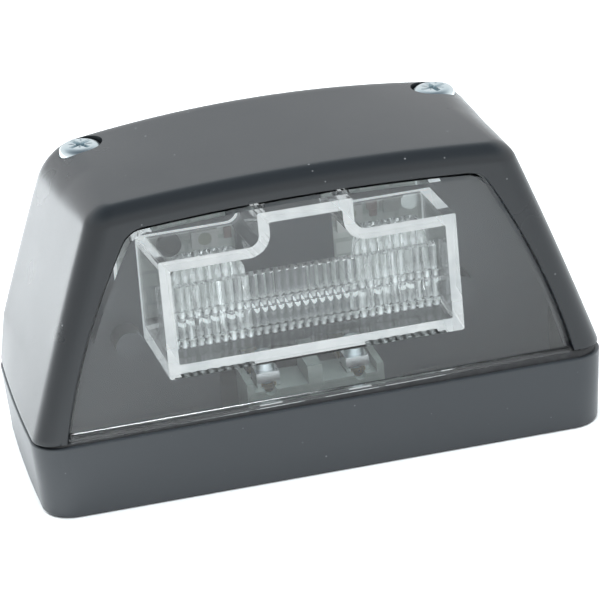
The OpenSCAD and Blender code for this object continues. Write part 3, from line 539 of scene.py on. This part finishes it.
# %% Posts and recesses
def parts_of(piece):
    """Vertices, in millimetres, and faces of a piece, ready for another cut."""
    points = np.array([v.co for v in piece.data.vertices]) * 1000
    return [(points, [list(face.vertices) for face in piece.data.polygons])]


RECESS_R, BORE_R = 3.85, 2.25
CUP_R, CUP_FOOT = 5.2, 46.3
form_wall, form_roll, form_crown = hood_skin(WALL / 3, 0)
form = [weave(form_wall, ring=True), weave(form_roll, ring=True), weave(form_crown, ring=True),
        lid(form_wall[0])]
for side in (-1, 1):
    post = bpy.data.objects.new("post", to_mesh("post", turned(
        [(POST_R, POST_TOP), (POST_R, CUP_FOOT), (CUP_R, CUP_FOOT + 1), (CUP_R, 56)],
        side * SCREW_X, SCREW_Y)))
    bpy.context.scene.collection.objects.link(post)
    carve(post, form, "INTERSECT")
    carve(hood, parts_of(post), "UNION")
    bpy.data.objects.remove(post)
for side in (-1, 1):
    carve(hood, turned([(RECESS_R, SEAT), (RECESS_R, 60)], side * SCREW_X, SCREW_Y))
    carve(hood, turned([(BORE_R, POST_TOP - 1), (BORE_R, 52)], side * SCREW_X, SCREW_Y))
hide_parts("hood")
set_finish(hood, "hood_plastic")
show(hood)

# %% [markdown]
# ## Clear lens with its light box
#
# The lens is one clear moulding: a thin plate that fills the opening, a retaining flange behind
# the frame, a lip along the foot and, on its back, a stepped box whose walls run back to the
# light shield. It has to be one closed skin, because light bends at every surface and an inner
# wall would show. The plate is a stack of arch outlines, the box is a tube between stepped
# outlines, and a union removes what lies inside.

# %% Outlines of the light box
FLOOR, CEILING, BOX_END = 9.4, 24.2, -1.005


def stepped(half, low, shoulder, top, middle, hollow_r, small_r, steps=8):
    """Stepped outline with rounded corners, as (x, s) pairs. Near a corner with arms u and w the
    point is the corner plus u times r (1 - sin a) plus w times r (1 - cos a)."""
    corner = np.array([(half, low), (half, shoulder), (middle, shoulder), (middle, top),
                       (-middle, top), (-middle, shoulder), (-half, shoulder), (-half, low)])
    radius = np.array([small_r, small_r, hollow_r, small_r, small_r, hollow_r, small_r, small_r])
    to_last = np.roll(corner, 1, axis=0) - corner
    to_next = np.roll(corner, -1, axis=0) - corner
    u = to_last / np.linalg.norm(to_last, axis=1, keepdims=True)
    w = to_next / np.linalg.norm(to_next, axis=1, keepdims=True)
    a = np.linspace(0, np.pi / 2, steps)[None, :, None]
    r = radius[:, None, None]
    points = corner[:, None] + u[:, None] * r * (1 - np.sin(a)) + w[:, None] * r * (1 - np.cos(a))
    return points.reshape(-1, 2)


def box_ring(flat, y, leaning):
    """Places a stepped outline at y. A leaning one follows the front plane as it rises."""
    x, s = flat.T
    return np.stack([x, y + (math.tan(LEAN) * s if leaning else 0 * s), HOOD_FOOT + s], axis=-1)


box_front_y = HOOD_FRONT + 1.6
outside = {"low": 7.0, "middle": 8.24, "hollow_r": 2.0, "small_r": 0.35}
inside = {"low": FLOOR, "middle": 6.34, "hollow_r": 3.9, "small_r": 0.25}
tube = np.stack([
    box_ring(stepped(half=25.7, shoulder=28.1, top=33.8, **outside), box_front_y, True),
    box_ring(stepped(half=26.1, shoulder=26.1, top=31.8, **outside), BOX_END, False),
    box_ring(stepped(half=24.2, shoulder=CEILING, top=29.9, **inside), BOX_END, False),
    box_ring(stepped(half=23.8, shoulder=26.2, top=31.9, **inside), box_front_y, True)])
print("light box", round(BOX_END - box_front_y, 1), "mm deep")

# %% Lens moulding
chamfer, plate_edge = [(1.35, 1.15, 0.6), (0.25, 0.6, 1.0)], [(0.25, 0.6, 2.6)]
flange = [(-1.2, -0.2, 2.6), (-1.2, -0.2, 3.6), (1.1, 1.1, 3.6), (1.1, 1.1, 2.6)]
plate = np.array([on_front(arch(inset, drop), depth)
                  for inset, drop, depth in chamfer + plate_edge + flange])
lip_half = open_side(1.2) - 0.25
lip_section = [(None, 0.1), (0.9, 0.1), (1.12, 0.2), (1.2, 0.4), (1.2, 2.6), (None, 2.6)]
lip = np.stack([on_front(np.array([(x, WEDGE * x if v is None else v) for v, _ in lip_section]),
                         np.array([depth for _, depth in lip_section]))
                for x in (-lip_half, lip_half)])
lens = make_piece("lens_moulding", [weave(plate, ring=True), lid(plate[0]), lid(plate[-1])], sharp=12)
carve(lens, [weave(lip, ring=True), lid(lip[0]), lid(lip[-1])], "UNION", sharp=12)
carve(lens, [weave(tube, ring=True, tube=True)], "UNION", sharp=12)
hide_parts("lens")
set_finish(lens, "clear_lens")
show(lens)

# %% [markdown]
# ## Fluted optic
#
# Inside the box stands a clear bar that spreads the light: two rows of thin upright flutes, each
# on a foot that steps forward, and behind them two taller lobes with coarser flutes on their
# backs. The bar is one cross-section carried along x, and the flutes are added to its front as a
# row of half waves, so no flute is modelled twice.

# %% Fluted optic
def flute(x, start, pitch, depth):
    """Half-wave flutes: the depth times one less the size of a sine, so zero on each crest."""
    return depth * (1 - np.abs(np.sin(np.pi * (x - start) / pitch)))


OPTIC_FRONT, OPTIC_REAR, OPTIC_HALF = -13.1, -10.35, 23.55
OPTIC_FOOT, OPTIC_MIDDLE, OPTIC_TOP = 23.4, 28.506, 34.307
FLUTES, FLUTE_DEPTH, STEP_HEIGHT, STEP_DEPTH = 33, 0.45, 1.5, 0.7
PITCH = 2 * OPTIC_HALF / FLUTES
section = []
for foot_z, top_z in ((OPTIC_FOOT, OPTIC_MIDDLE), (OPTIC_MIDDLE, OPTIC_TOP)):
    step_z = foot_z + STEP_HEIGHT
    section += [(foot_z, 0), (step_z, 0), (step_z, STEP_DEPTH), (top_z, STEP_DEPTH)]
section += [(OPTIC_TOP, None), (OPTIC_FOOT, None)]
x = np.linspace(-OPTIC_HALF, OPTIC_HALF, FLUTES * 10 + 1)
wave = flute(x, -OPTIC_HALF, PITCH, FLUTE_DEPTH)
bar = np.stack([np.stack([x, np.full_like(x, OPTIC_REAR) if step is None else OPTIC_FRONT + step + wave,
                          np.full_like(x, z)], axis=-1) for z, step in section])
optic = make_piece("optic_moulding", [weave(bar, tube=True), lid(bar[:, 0]), lid(bar[:, -1])], sharp=28)
print(FLUTES, "flutes", round(PITCH, 2), "mm apart")

# %% Lobes
LOBE_FROM, LOBE_TO, LOBE_TOP, LOBE_BACK = 9.6, 22.35, 37.4, -8.35
LOBE_FLUTES, LOBE_ROUND = 6, 2.4


def lobe(side):
    """Tall lobe: a fluted back, a flat front and an upper edge rounded at both ends by 2.4 mm."""
    x = np.linspace(LOBE_FROM, LOBE_TO, LOBE_FLUTES * 14 + 1)
    inside = np.clip(LOBE_ROUND - np.minimum(x - LOBE_FROM, LOBE_TO - x), 0, None)
    top = LOBE_TOP - LOBE_ROUND + np.sqrt(LOBE_ROUND ** 2 - inside ** 2)
    back = LOBE_BACK - flute(x, LOBE_FROM, (LOBE_TO - LOBE_FROM) / LOBE_FLUTES, FLUTE_DEPTH)
    front = np.full_like(x, OPTIC_REAR - 0.5)
    foot = np.full_like(x, OPTIC_FOOT)
    rows = [(front, foot), (front, top), (back, top), (back, foot)]
    grid = np.stack([np.stack([x * side, y, z], axis=-1) for y, z in rows])
    return [weave(grid, tube=True), lid(grid[:, 0]), lid(grid[:, -1])]


for side in (-1, 1):
    carve(optic, lobe(side), "UNION", sharp=28)
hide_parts("fluted_optic")
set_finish(optic, "clear_optic")
show(optic)

# %% [markdown]
# ## Cover screws
#
# A pan head is a turned form, but its cross recess is not, so the head is a polar grid whose
# height is a formula: the dome less the depth of the cross. Each arm of the cross is a product of
# two soft steps, one along and one across, and four shallow marks between the arms show the kind
# of driver it takes.

# %% Soft steps
def soft_step(distance, edge, width):
    """One inside the edge and zero outside, with a smooth ramp of the given width between."""
    t = np.clip((edge - distance) / width + 0.5, 0, 1)
    return t * t * (3 - 2 * t)


print("halfway up the ramp a soft step is", soft_step(1.0, 1.0, 0.2))

# %% Cover screws
HEAD_R, HEAD_SIDE, HEAD_DOME = 3.7, 0.9, 1.1
SHANK_R, SHANK_FOOT, CROSS_REACH, CROSS_HALF = 2.0, -37.4, 2.1, 0.45


def arm(along, across):
    """One pair of arms of the cross: soft steps along and across, a little narrower outwards."""
    return soft_step(along, CROSS_REACH, 0.3) * soft_step(across, CROSS_HALF - 0.05 * along, 0.14)


def cover_screw(name, side, turn):
    """Pan head with a cross recess over a plain shank, turned about its axis. Past 0.55 of its
    radius the dome falls off as a quarter of an ellipse."""
    angle = np.linspace(0, 2 * np.pi, 144, endpoint=False)
    radius = np.concatenate([np.linspace(0.02, 2.5, 44), np.linspace(2.6, HEAD_R, 16)])
    flat = HEAD_R * 0.55
    fall = np.clip(radius - flat, 0, None) / (HEAD_R - flat)
    dome = HEAD_SIDE + HEAD_DOME * np.sqrt(np.clip(1 - fall ** 2, 0, 1))
    r, a = np.meshgrid(radius, angle, indexing="ij")
    u, v = np.abs(r * np.cos(a - turn)), np.abs(r * np.sin(a - turn))
    cross = np.maximum(arm(u, v), arm(v, u))
    depth = cross * (1.35 - 0.3 * r)
    ticks = soft_step(np.abs(u - v) / 1.414, 0.12, 0.1) * soft_step(np.abs(r - 1.5), 0.5, 0.2) * 0.12
    z = HEAD_FOOT + dome[:, None] - np.clip(depth, 0, None) - ticks * (1 - cross)
    x0, y0 = side * SCREW_X, SCREW_Y
    head = np.stack([x0 + r * np.cos(a), y0 + r * np.sin(a), z], axis=-1)
    shank = [(HEAD_R, HEAD_SIDE), (HEAD_R, 0.25), (HEAD_R - 0.15, 0.0), (SHANK_R, 0.0),
             (SHANK_R, SHANK_FOOT), (SHANK_R - 0.6, SHANK_FOOT - 0.8)]
    shank = np.stack([np.stack([x0 + k * np.cos(angle), y0 + k * np.sin(angle),
                                np.full_like(angle, HEAD_FOOT + h)], axis=-1) for k, h in shank])
    screw = make_piece(name, [weave(head, ring=True), lid(head[0]), weave(shank, ring=True),
                              lid(shank[-1])], sharp=40)
    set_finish(screw, "zinc_screws")
    show(screw)
    return screw


screw_left = cover_screw("cover_screw_left_turned", -1, math.radians(30))
screw_right = cover_screw("cover_screw_right_turned", 1, math.radians(12))
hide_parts("cover_screw_left")
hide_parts("cover_screw_right")

# %% [markdown]
# ## Shader maths as Python
#
# Patterns in a finish are sums and products of textures. `Wire` wraps one socket, so that an
# expression such as `1 - mask * 0.3` adds its Math nodes. `Nodes` holds a node tree and adds any
# other node from its type, its settings and its inputs, and `Finish` is such a tree for a material
# around one main shader.

# %% Wires
class Wire:
    """A value on a socket that can be used in sums, differences and products."""

    def __init__(self, owner, socket):
        self.owner, self.socket = owner, socket

    def maths(self, operation, first, second=0.0):
        return self.owner.node("ShaderNodeMath", {"operation": operation}, {0: first, 1: second})

    def __add__(self, other):
        return self.maths("ADD", self, other)

    def __sub__(self, other):
        return self.maths("SUBTRACT", self, other)

    def __rsub__(self, other):
        return self.maths("SUBTRACT", other, self)

    def __mul__(self, other):
        return self.maths("MULTIPLY", self, other)

    __radd__, __rmul__ = __add__, __mul__

    def magnitude(self):
        return self.maths("ABSOLUTE", self)

    def sine(self):
        return self.maths("SINE", self)

    def fraction(self):
        return self.maths("FRACT", self)

    def above(self, limit):
        """One where the value is above the limit, and zero elsewhere."""
        return self.maths("GREATER_THAN", self, limit)


print("wires ready")

# %% Node trees
class Nodes:
    """A node tree that adds a node from its type, its settings and its inputs."""

    def __init__(self, tree):
        self.tree = tree

    def node(self, kind, settings=None, inputs=None, out=0):
        """Adds a node: its settings come first, then the values or wires of its sockets."""
        made = self.tree.nodes.new(kind)
        for name, value in (settings or {}).items():
            if name == "ramp":
                while len(made.color_ramp.elements) < len(value):
                    made.color_ramp.elements.new(0.5)
                for element, (at, shade) in zip(made.color_ramp.elements, value):
                    rgb = shade if isinstance(shade, tuple) else (shade,) * 3
                    element.position, element.color = at, (*rgb, 1)
            else:
                setattr(made, name, value)
        for name, value in (inputs or {}).items():
            if isinstance(value, Wire):
                self.tree.links.new(value.socket, made.inputs[name])
            else:
                made.inputs[name].default_value = value
        return Wire(self, made.outputs[out])

    def ramp(self, value, *stops):
        """Shades between stops of (position, grey or colour)."""
        return self.node("ShaderNodeValToRGB", {"ramp": stops}, {"Fac": value})

    def blend(self, share, first, second, how="MIX"):
        """Mixes two colours by a share."""
        color = [(*c, 1) if isinstance(c, tuple) else c for c in (first, second)]
        return self.node("ShaderNodeMix", {"data_type": "RGBA", "blend_type": how},
                         {0: share, 6: color[0], 7: color[1]}, out=2)

    def along(self, axis, vector):
        """The X, Y or Z part of a vector."""
        return self.node("ShaderNodeSeparateXYZ", inputs={"Vector": vector}, out=axis)


print("node trees ready")

# %% Finishes
class Finish(Nodes):
    """A material around one Principled shader."""

    def __init__(self, name, color=(0.5, 0.5, 0.5), **plain):
        self.material = bpy.data.materials.new(name)
        self.material.use_nodes = True
        super().__init__(self.material.node_tree)
        self.shader = self.tree.nodes["Principled BSDF"]
        self.shader.inputs["Base Color"].default_value = (*color, 1)
        for socket, value in plain.items():
            self.shader.inputs[socket.replace("_", " ")].default_value = value
        self.place = self.node("ShaderNodeTexCoord", out="Object")

    def noise(self, scale, detail=2.0, rough=0.5, stretch=(1, 1, 1)):
        """Noise on object coordinates, about 0 to 1. The scale counts features in a metre."""
        place = self.place
        if stretch != (1, 1, 1):
            place = self.node("ShaderNodeMapping", inputs={"Vector": place, "Scale": stretch})
        return self.node("ShaderNodeTexNoise", inputs={
            "Vector": place, "Scale": scale, "Detail": detail, "Roughness": rough})

    def feed(self, **wires):
        """Links wires to the main shader's sockets."""
        for socket, wire in wires.items():
            self.tree.links.new(wire.socket, self.shader.inputs[socket.replace("_", " ")])
        return self

    def bump(self, height, distance, strength=1.0):
        """Raises the surface by height times the distance, which is in metres."""
        normal = self.node("ShaderNodeBump", inputs={
            "Height": height, "Distance": distance, "Strength": strength})
        return self.feed(Normal=normal)

    def mix_in(self, share, other):
        """Gives a share of the surface to another shader, on top of what it has so far."""
        surface = self.tree.nodes["Material Output"].inputs["Surface"]
        so_far = Wire(self, surface.links[0].from_socket)
        mixed = self.node("ShaderNodeMixShader", inputs={0: share, 1: so_far, 2: other})
        self.tree.links.new(mixed.socket, surface)
        return self


print("finishes ready")

# %% [markdown]
# ## Black plastic
#
# Hood and base are black moulded plastic with a fine satin grain, and the hood is the blacker of
# the two. Most of the look comes from reflections: the grain only breaks them up softly. A slow
# cloud in the roughness keeps large faces from looking computed, and sparse pale specks are the
# dust of a handled part. The shield behind the lens is plainer: it has no grain and no dust.

# %% Black plastic
def black_plastic(name, color, roughness, grain, dusty=1.0):
    """Satin black plastic: fine grain in the bump, clouds in the roughness, specks of dust."""
    f = Finish(name, color, Specular_IOR_Level=0.5)
    cloud = f.noise(60, 3)
    fine = f.noise(5200, 2, 0.6)
    speck = f.node("ShaderNodeTexVoronoi", {"feature": "F1"}, {
        "Vector": f.place, "Scale": 420.0, "Randomness": 1.0}, out="Distance")
    patch = f.noise(140, 2)
    dust = f.ramp(speck, (0.0, 1.0), (0.055, 1.0), (0.085, 0.0)) * f.ramp(patch, (0.49, 0.0), (0.56, 1.0))
    pale = f.blend(dust * (0.35 * dusty), color, (0.42, 0.43, 0.44))
    f.feed(Base_Color=pale, Roughness=roughness - 0.05 + cloud * 0.1 + dust * 0.2)
    return f.bump(fine * 0.7 + f.noise(1500, 2) * 0.3, grain) if grain else f


hood_plastic = black_plastic("hood_plastic", (0.014, 0.0165, 0.0195), 0.29, 0.00003)
base_plastic = black_plastic("base_plastic", (0.035, 0.040, 0.046), 0.34, 0.00002, 0.8)
shield_plastic = black_plastic("shield_plastic", (0.054, 0.064, 0.075), 0.5, 0, 0.0)
print("black plastics ready")

# %% [markdown]
# ## Clear plastic and painted glow
#
# The lens and the optic are clear acrylic: the whole look is refraction, and roughness nearly
# zero. Lamps could not light anything behind such a skin in a reasonable time, so a mix with a
# Transparent shader lets their rays through while every other ray still bends. The open ends of
# the light box get a pale glowing face on the same clear moulding: painted glow that stands for
# stray light, which the walls carry to the front.

# %% Clear plastic and painted glow on the box ends
def clear_plastic(name, tint, roughness, wave):
    """Clear acrylic whose surface has a very slight moulding wave. Lamp rays pass straight."""
    f = Finish(name, tint, IOR=1.49, Transmission_Weight=1.0, Specular_IOR_Level=0.5)
    cloud = f.noise(90, 2)
    f.feed(Roughness=roughness + cloud * roughness)
    f.bump(f.noise(55, 2), wave)
    path = f.node("ShaderNodeLightPath", out="Is Shadow Ray")
    through = f.node("ShaderNodeBsdfTransparent", inputs={"Color": (0.93, 0.95, 0.95, 1)})
    return f.mix_in(path, through)


clear_lens = clear_plastic("clear_lens", (0.97, 0.985, 0.985), 0.012, 0.00001)
clear_optic = clear_plastic("clear_optic", (0.97, 0.985, 0.985), 0.015, 0.00001)
# Painted glow: the ends of the box walls are pale and emit light, standing for stray light that the walls
# carry to the front.
painted_glow = Finish("box_end_painted_glow", (0.86, 0.9, 0.91), Roughness=0.6, Emission_Strength=0.6)
glow = painted_glow.ramp(painted_glow.noise(260, 3), (0.3, (0.72, 0.77, 0.79)), (0.7, (0.9, 0.94, 0.95)))
painted_glow.feed(Base_Color=glow, Emission_Color=glow)
print("clear plastics ready")

# %% [markdown]
# ## Light caught by the flutes
#
# Flutes gather light along their crests, most of all at the foot of each row, and the lobes at
# both ends shimmer in upright streaks. Following such bundles of light through clear plastic
# would take a render very long, so that light is painted: a share of the optic's surface is pale
# glowing plastic instead. The share is worked out from the place on the piece: the sine of x
# gives the crests, the fraction of z gives the rows, and a stretched noise gives the streaks.

# %% Pale light along crests and feet
ROW_FOOT, ROW_HEIGHT, BESIDE = 23.2, 5.4, 9.5


def catch_light(f):
    """Mixes in painted light as a share of pale glowing plastic: the crest squared, times the light
    of the row plus, beside the middle, a tenth and the streaks."""
    across = f.along("X", f.place)
    crest = ((across + OPTIC_HALF / 1000) * (math.pi / (PITCH / 1000))).sine().magnitude()
    row = ((f.along("Z", f.place) - ROW_FOOT / 1000) * (1000 / ROW_HEIGHT)).fraction()
    foot_light = f.ramp(row, (0.0, 0.0), (0.05, 0.0), (0.09, 1.0), (0.2, 0.7), (0.38, 0.14), (0.9, 0.07))
    beside = across.magnitude().above(BESIDE / 1000)
    streaks = f.ramp(f.noise(1100, 2, 0.5, (1, 1, 0.16)), (0.47, 0.0), (0.66, 1.0))
    # Painted light: pale plastic that emits on the crests stands for the light the flutes gather.
    pale = f.node("ShaderNodeBsdfPrincipled", inputs={
        "Base Color": (0.86, 0.9, 0.91, 1), "Roughness": 0.4,
        "Emission Color": (0.86, 0.92, 0.93, 1), "Emission Strength": 0.22})
    return f.mix_in(crest * crest * (foot_light * 0.6 + beside * (streaks * 0.45 + 0.1)), pale)


catch_light(clear_optic)
print("light in the flutes ready")

# %% [markdown]
# ## Metals and small parts
#
# Screws, sleeves and clamps are plated or turned metal: a metallic shader whose roughness and
# tint drift a little, with fine brushing. The board, the packages on it, the rubber and the nylon
# are plain dull materials that only need some grain and a slight change of shade. The nylon's
# dark tone is painted shade: it stands for the shade inside the closed lamp.

# %% Metals
def metal(name, first, second, roughness, brush=(1, 1, 1)):
    """Metal with a drifting tint, cloudy roughness and fine brushed relief."""
    f = Finish(name, first, Metallic=1.0)
    drift = f.ramp(f.noise(240, 3), (0.35, first), (0.68, second))
    fine = f.noise(2600, 3, 0.6, brush)
    f.feed(Base_Color=drift, Roughness=roughness + f.noise(500, 2) * 0.12 - 0.05)
    return f.bump(fine, 0.00001)


def dull(name, first, second, roughness, scale=900, relief=0.00002):
    """Dull material with a mottled shade and a fine grain."""
    f = Finish(name, first)
    f.feed(Base_Color=f.ramp(f.noise(scale, 3), (0.35, first), (0.68, second)),
           Roughness=roughness - 0.04 + f.noise(scale * 2, 2) * 0.08)
    return f.bump(f.noise(scale * 4, 2), relief)


zinc = metal("zinc_screws", (0.66, 0.75, 0.79), (0.76, 0.82, 0.84), 0.3)
brass = metal("brass_parts", (0.70, 0.55, 0.27), (0.78, 0.63, 0.36), 0.28)
plated = metal("plated_clamps", (0.80, 0.82, 0.83), (0.72, 0.74, 0.75), 0.2)
can = metal("capacitor_can", (0.68, 0.69, 0.71), (0.75, 0.76, 0.77), 0.3, (1, 1, 8))
solder = metal("solder", (0.75, 0.77, 0.77), (0.62, 0.65, 0.64), 0.3)
rubber = dull("black_rubber", (0.022, 0.022, 0.024), (0.035, 0.035, 0.037), 0.7)
# Painted shade: the nylon gets a dark grey-green in place of its own pale tone, standing for the shade
# inside the lamp.
nylon_painted_shade = dull("natural_nylon", (0.15, 0.175, 0.165), (0.18, 0.205, 0.19), 0.45)
dark_ceramic = dull("dark_ceramic", (0.07, 0.075, 0.08), (0.11, 0.115, 0.12), 0.5)
brown_ceramic = dull("brown_ceramic", (0.36, 0.27, 0.25), (0.46, 0.37, 0.34), 0.5)
pale_ceramic = dull("pale_ceramic", (0.55, 0.57, 0.55), (0.64, 0.66, 0.64), 0.4)
led_white = dull("led_white", (0.86, 0.87, 0.85), (0.92, 0.92, 0.9), 0.3)
phosphor = dull("led_phosphor", (0.50, 0.52, 0.44), (0.60, 0.61, 0.50), 0.6)
print("metals and small parts ready")

# %% [markdown]
# ## Circuit board
#
# Under its pale coating the board carries copper tracks. A brick pattern, stretched and softened,
# gives their broad fields and thin gaps as a slight change of shade and a step of a few
# hundredths of a millimetre.

# %% Board with tracks under its coating
board = Finish("board_laminate", (0.5, 0.56, 0.52))
turned_place = board.node("ShaderNodeMapping", inputs={
    "Vector": board.place, "Rotation": (math.radians(90), 0, 0), "Location": (0.003, 0, 0.0012)})
tracks = board.node("ShaderNodeTexBrick", {"offset": 0.37, "squash": 0.7, "squash_frequency": 3}, {
    "Vector": turned_place, "Scale": 85.0, "Mortar Size": 0.035, "Mortar Smooth": 0.2,
    "Color1": (0.82, 0.86, 0.83, 1), "Color2": (0.76, 0.81, 0.78, 1), "Mortar": (0.58, 0.63, 0.6, 1)})
gaps = Wire(board, tracks.socket.node.outputs["Fac"])
board.feed(Base_Color=board.blend(board.noise(700, 3) * 0.25, tracks, (0.88, 0.9, 0.87)),
           Roughness=0.32 + board.noise(300) * 0.1)
board.bump(1 - gaps, 0.00003)
print("board ready")

# %% [markdown]
# ## Every piece gets its finish
#
# The record gives each solid a material slot, so one table from slot to finish dresses all the
# solids that are still shown, and the new pieces take theirs from the same table. The faces with
# the painted glow are picked by their place and direction: the flat ends of the box walls face +y.

# %% Finishes by slot
finishes = {
    "base_plastic": base_plastic, "hood_plastic": hood_plastic, "shield_plastic": shield_plastic,
    "clear_lens": clear_lens, "clear_optic": clear_optic, "board_laminate": board,
    "led_white": led_white, "led_phosphor": phosphor, "dark_ceramic": dark_ceramic,
    "brown_ceramic": brown_ceramic, "pale_ceramic": pale_ceramic, "capacitor_can": can,
    "solder": solder, "zinc_screws": zinc, "brass_parts": brass, "plated_clamps": plated,
    "natural_nylon": nylon_painted_shade, "black_rubber": rubber}
slot_of = {part["node"]: part["material_slot"] for part in frame["record"]["subparts"]}
for name, node in nodes.items():
    node.data.materials.clear()
    node.data.materials.append(finishes[slot_of[name]].material)
new_pieces = (base, seal, hood, lens, optic, screw_left, screw_right)
for piece in new_pieces:
    piece.data.materials.clear()
    piece.data.materials.append(finishes[piece["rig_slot"]].material)
print(len(nodes), "solids and", len(new_pieces), "new pieces dressed")

# %% Painted glow on the ends of the light box
lens.data.materials.append(painted_glow.material)
count = len(lens.data.polygons)
centre, normal = np.zeros(count * 3), np.zeros(count * 3)
lens.data.polygons.foreach_get("center", centre)
lens.data.polygons.foreach_get("normal", normal)
ends = (centre[1::3] > (BOX_END - 0.05) / 1000) & (normal[1::3] > 0.9)
lens.data.polygons.foreach_set("material_index", ends.astype(np.int32))
print(int(ends.sum()), "frosted faces")

# %% [markdown]
# ## Floor and lamps
#
# The object stands on a pale floor in soft light from all around, as in a light tent. A broad soft
# lamp hangs above it. Two more shine down on the floor behind its left side, and that bright floor
# gives the leaning side its long pale sheen. None of the three leaves a mirror image on plastic.

# %% Floor
def pale_floor():
    """Large matt floor, pale enough to render white where no shadow falls."""
    edge = np.array([[-1, -1], [1, -1], [1, 1], [-1, 1]]) * 3000.0
    floor = bpy.data.objects.new("floor", to_mesh("floor", [lid(np.c_[edge, np.full(4, -0.02)])], False))
    bpy.context.scene.collection.objects.link(floor)
    f = Finish("pale_floor", (0.93, 0.935, 0.94), Roughness=0.9, Specular_IOR_Level=0.1)
    floor.data.materials.append(f.material)
    return floor


floor = pale_floor()
print("floor ready")

# %% Lamps
def soft_lamp(name, place, target, size, power):
    """Square lamp at a place, in millimetres, turned to its target and hidden from reflections."""
    light = bpy.data.lights.new(name, "AREA")
    light.shape, light.size, light.energy = "SQUARE", size / 1000, power
    light.color = (0.94, 0.98, 1.0)
    holder = bpy.data.objects.new(name, light)
    holder.location = Vector(place) / 1000
    holder.rotation_euler = (Vector(place) - Vector(target)).to_track_quat("Z", "Y").to_euler()
    holder.visible_glossy = False
    bpy.context.scene.collection.objects.link(holder)


soft_lamp("lamp_above", (100, -80, 700), (0, 0, 20), 500, 6.0)
soft_lamp("lamp_behind_left", (-190, 210, 170), (-110, 140, 0), 160, 1.05)
soft_lamp("lamp_floor_far", (-320, 560, 260), (-250, 460, 0), 260, 2.1)
print("three lamps ready")

# %% [markdown]
# ## Light tent
#
# The world is white to the camera and in reflections and clear plastic, and a little weaker as a
# light. Overhead the tent is open, so reflections fall off from white at the horizon to dark at
# the zenith. That gives the top edge of the hood its dark band between pale top and front.

# %% Light tent
world = bpy.data.worlds.new("light_tent")
bpy.context.scene.world = world
world.use_nodes = True
tent = Nodes(world.node_tree)
direct, mirrored, bent = [tent.node("ShaderNodeLightPath", out=ray)
                          for ray in ("Is Camera Ray", "Is Glossy Ray", "Is Transmission Ray")]
seen = direct + mirrored
shown = tent.node("ShaderNodeClamp", inputs={"Value": seen + bent})
rise = tent.along("Z", tent.node("ShaderNodeTexCoord", out="Generated"))
tent_wall = tent.ramp(rise, (0.12, (1.0, 1.0, 1.0)), (0.55, (0.93, 0.98, 1.0)),
                      (0.78, (0.36, 0.41, 0.45)), (0.95, (0.13, 0.16, 0.19)))
background = world.node_tree.nodes["Background"]
for socket, wire in (("Color", tent.blend(seen, (0.93, 0.98, 1.0), tent_wall)),
                     ("Strength", shown * 0.3 + 0.7)):
    world.node_tree.links.new(wire.socket, background.inputs[socket])
print("light tent ready")

# %% [markdown]
# ## Camera
#
# The picture was taken from above the front left through a long lens, with the camera tilted by
# a few degrees. The camera's axes are worked out from three angles, its place is given, and a
# long lens keeps the edges of the hood nearly parallel.

# %% Camera
turn, down, roll = 0.218946, 0.415012, 0.080090
ahead = Vector((math.sin(turn) * math.cos(down), math.cos(turn) * math.cos(down), -math.sin(down)))
level = Vector((math.cos(turn), -math.sin(turn), 0))
upright = Vector((math.sin(turn) * math.sin(down), math.cos(turn) * math.sin(down), math.cos(down)))
right = math.cos(roll) * level - math.sin(roll) * upright
up = math.sin(roll) * level + math.cos(roll) * upright
camera_data = bpy.data.cameras.new("camera")
camera_data.lens, camera_data.sensor_width = 270, 36
camera_data.clip_start, camera_data.clip_end = 0.01, 20
camera = bpy.data.objects.new("camera", camera_data)
place = Vector((-0.152206, -0.693184, 0.335439))
camera.matrix_world = Matrix.Translation(place) @ Matrix((right, up, -ahead)).transposed().to_4x4()
bpy.context.scene.collection.objects.link(camera)
bpy.context.scene.camera = camera
bpy.context.scene.view_settings.view_transform = "Standard"
print("camera", round(place.length * 1000), "mm away")
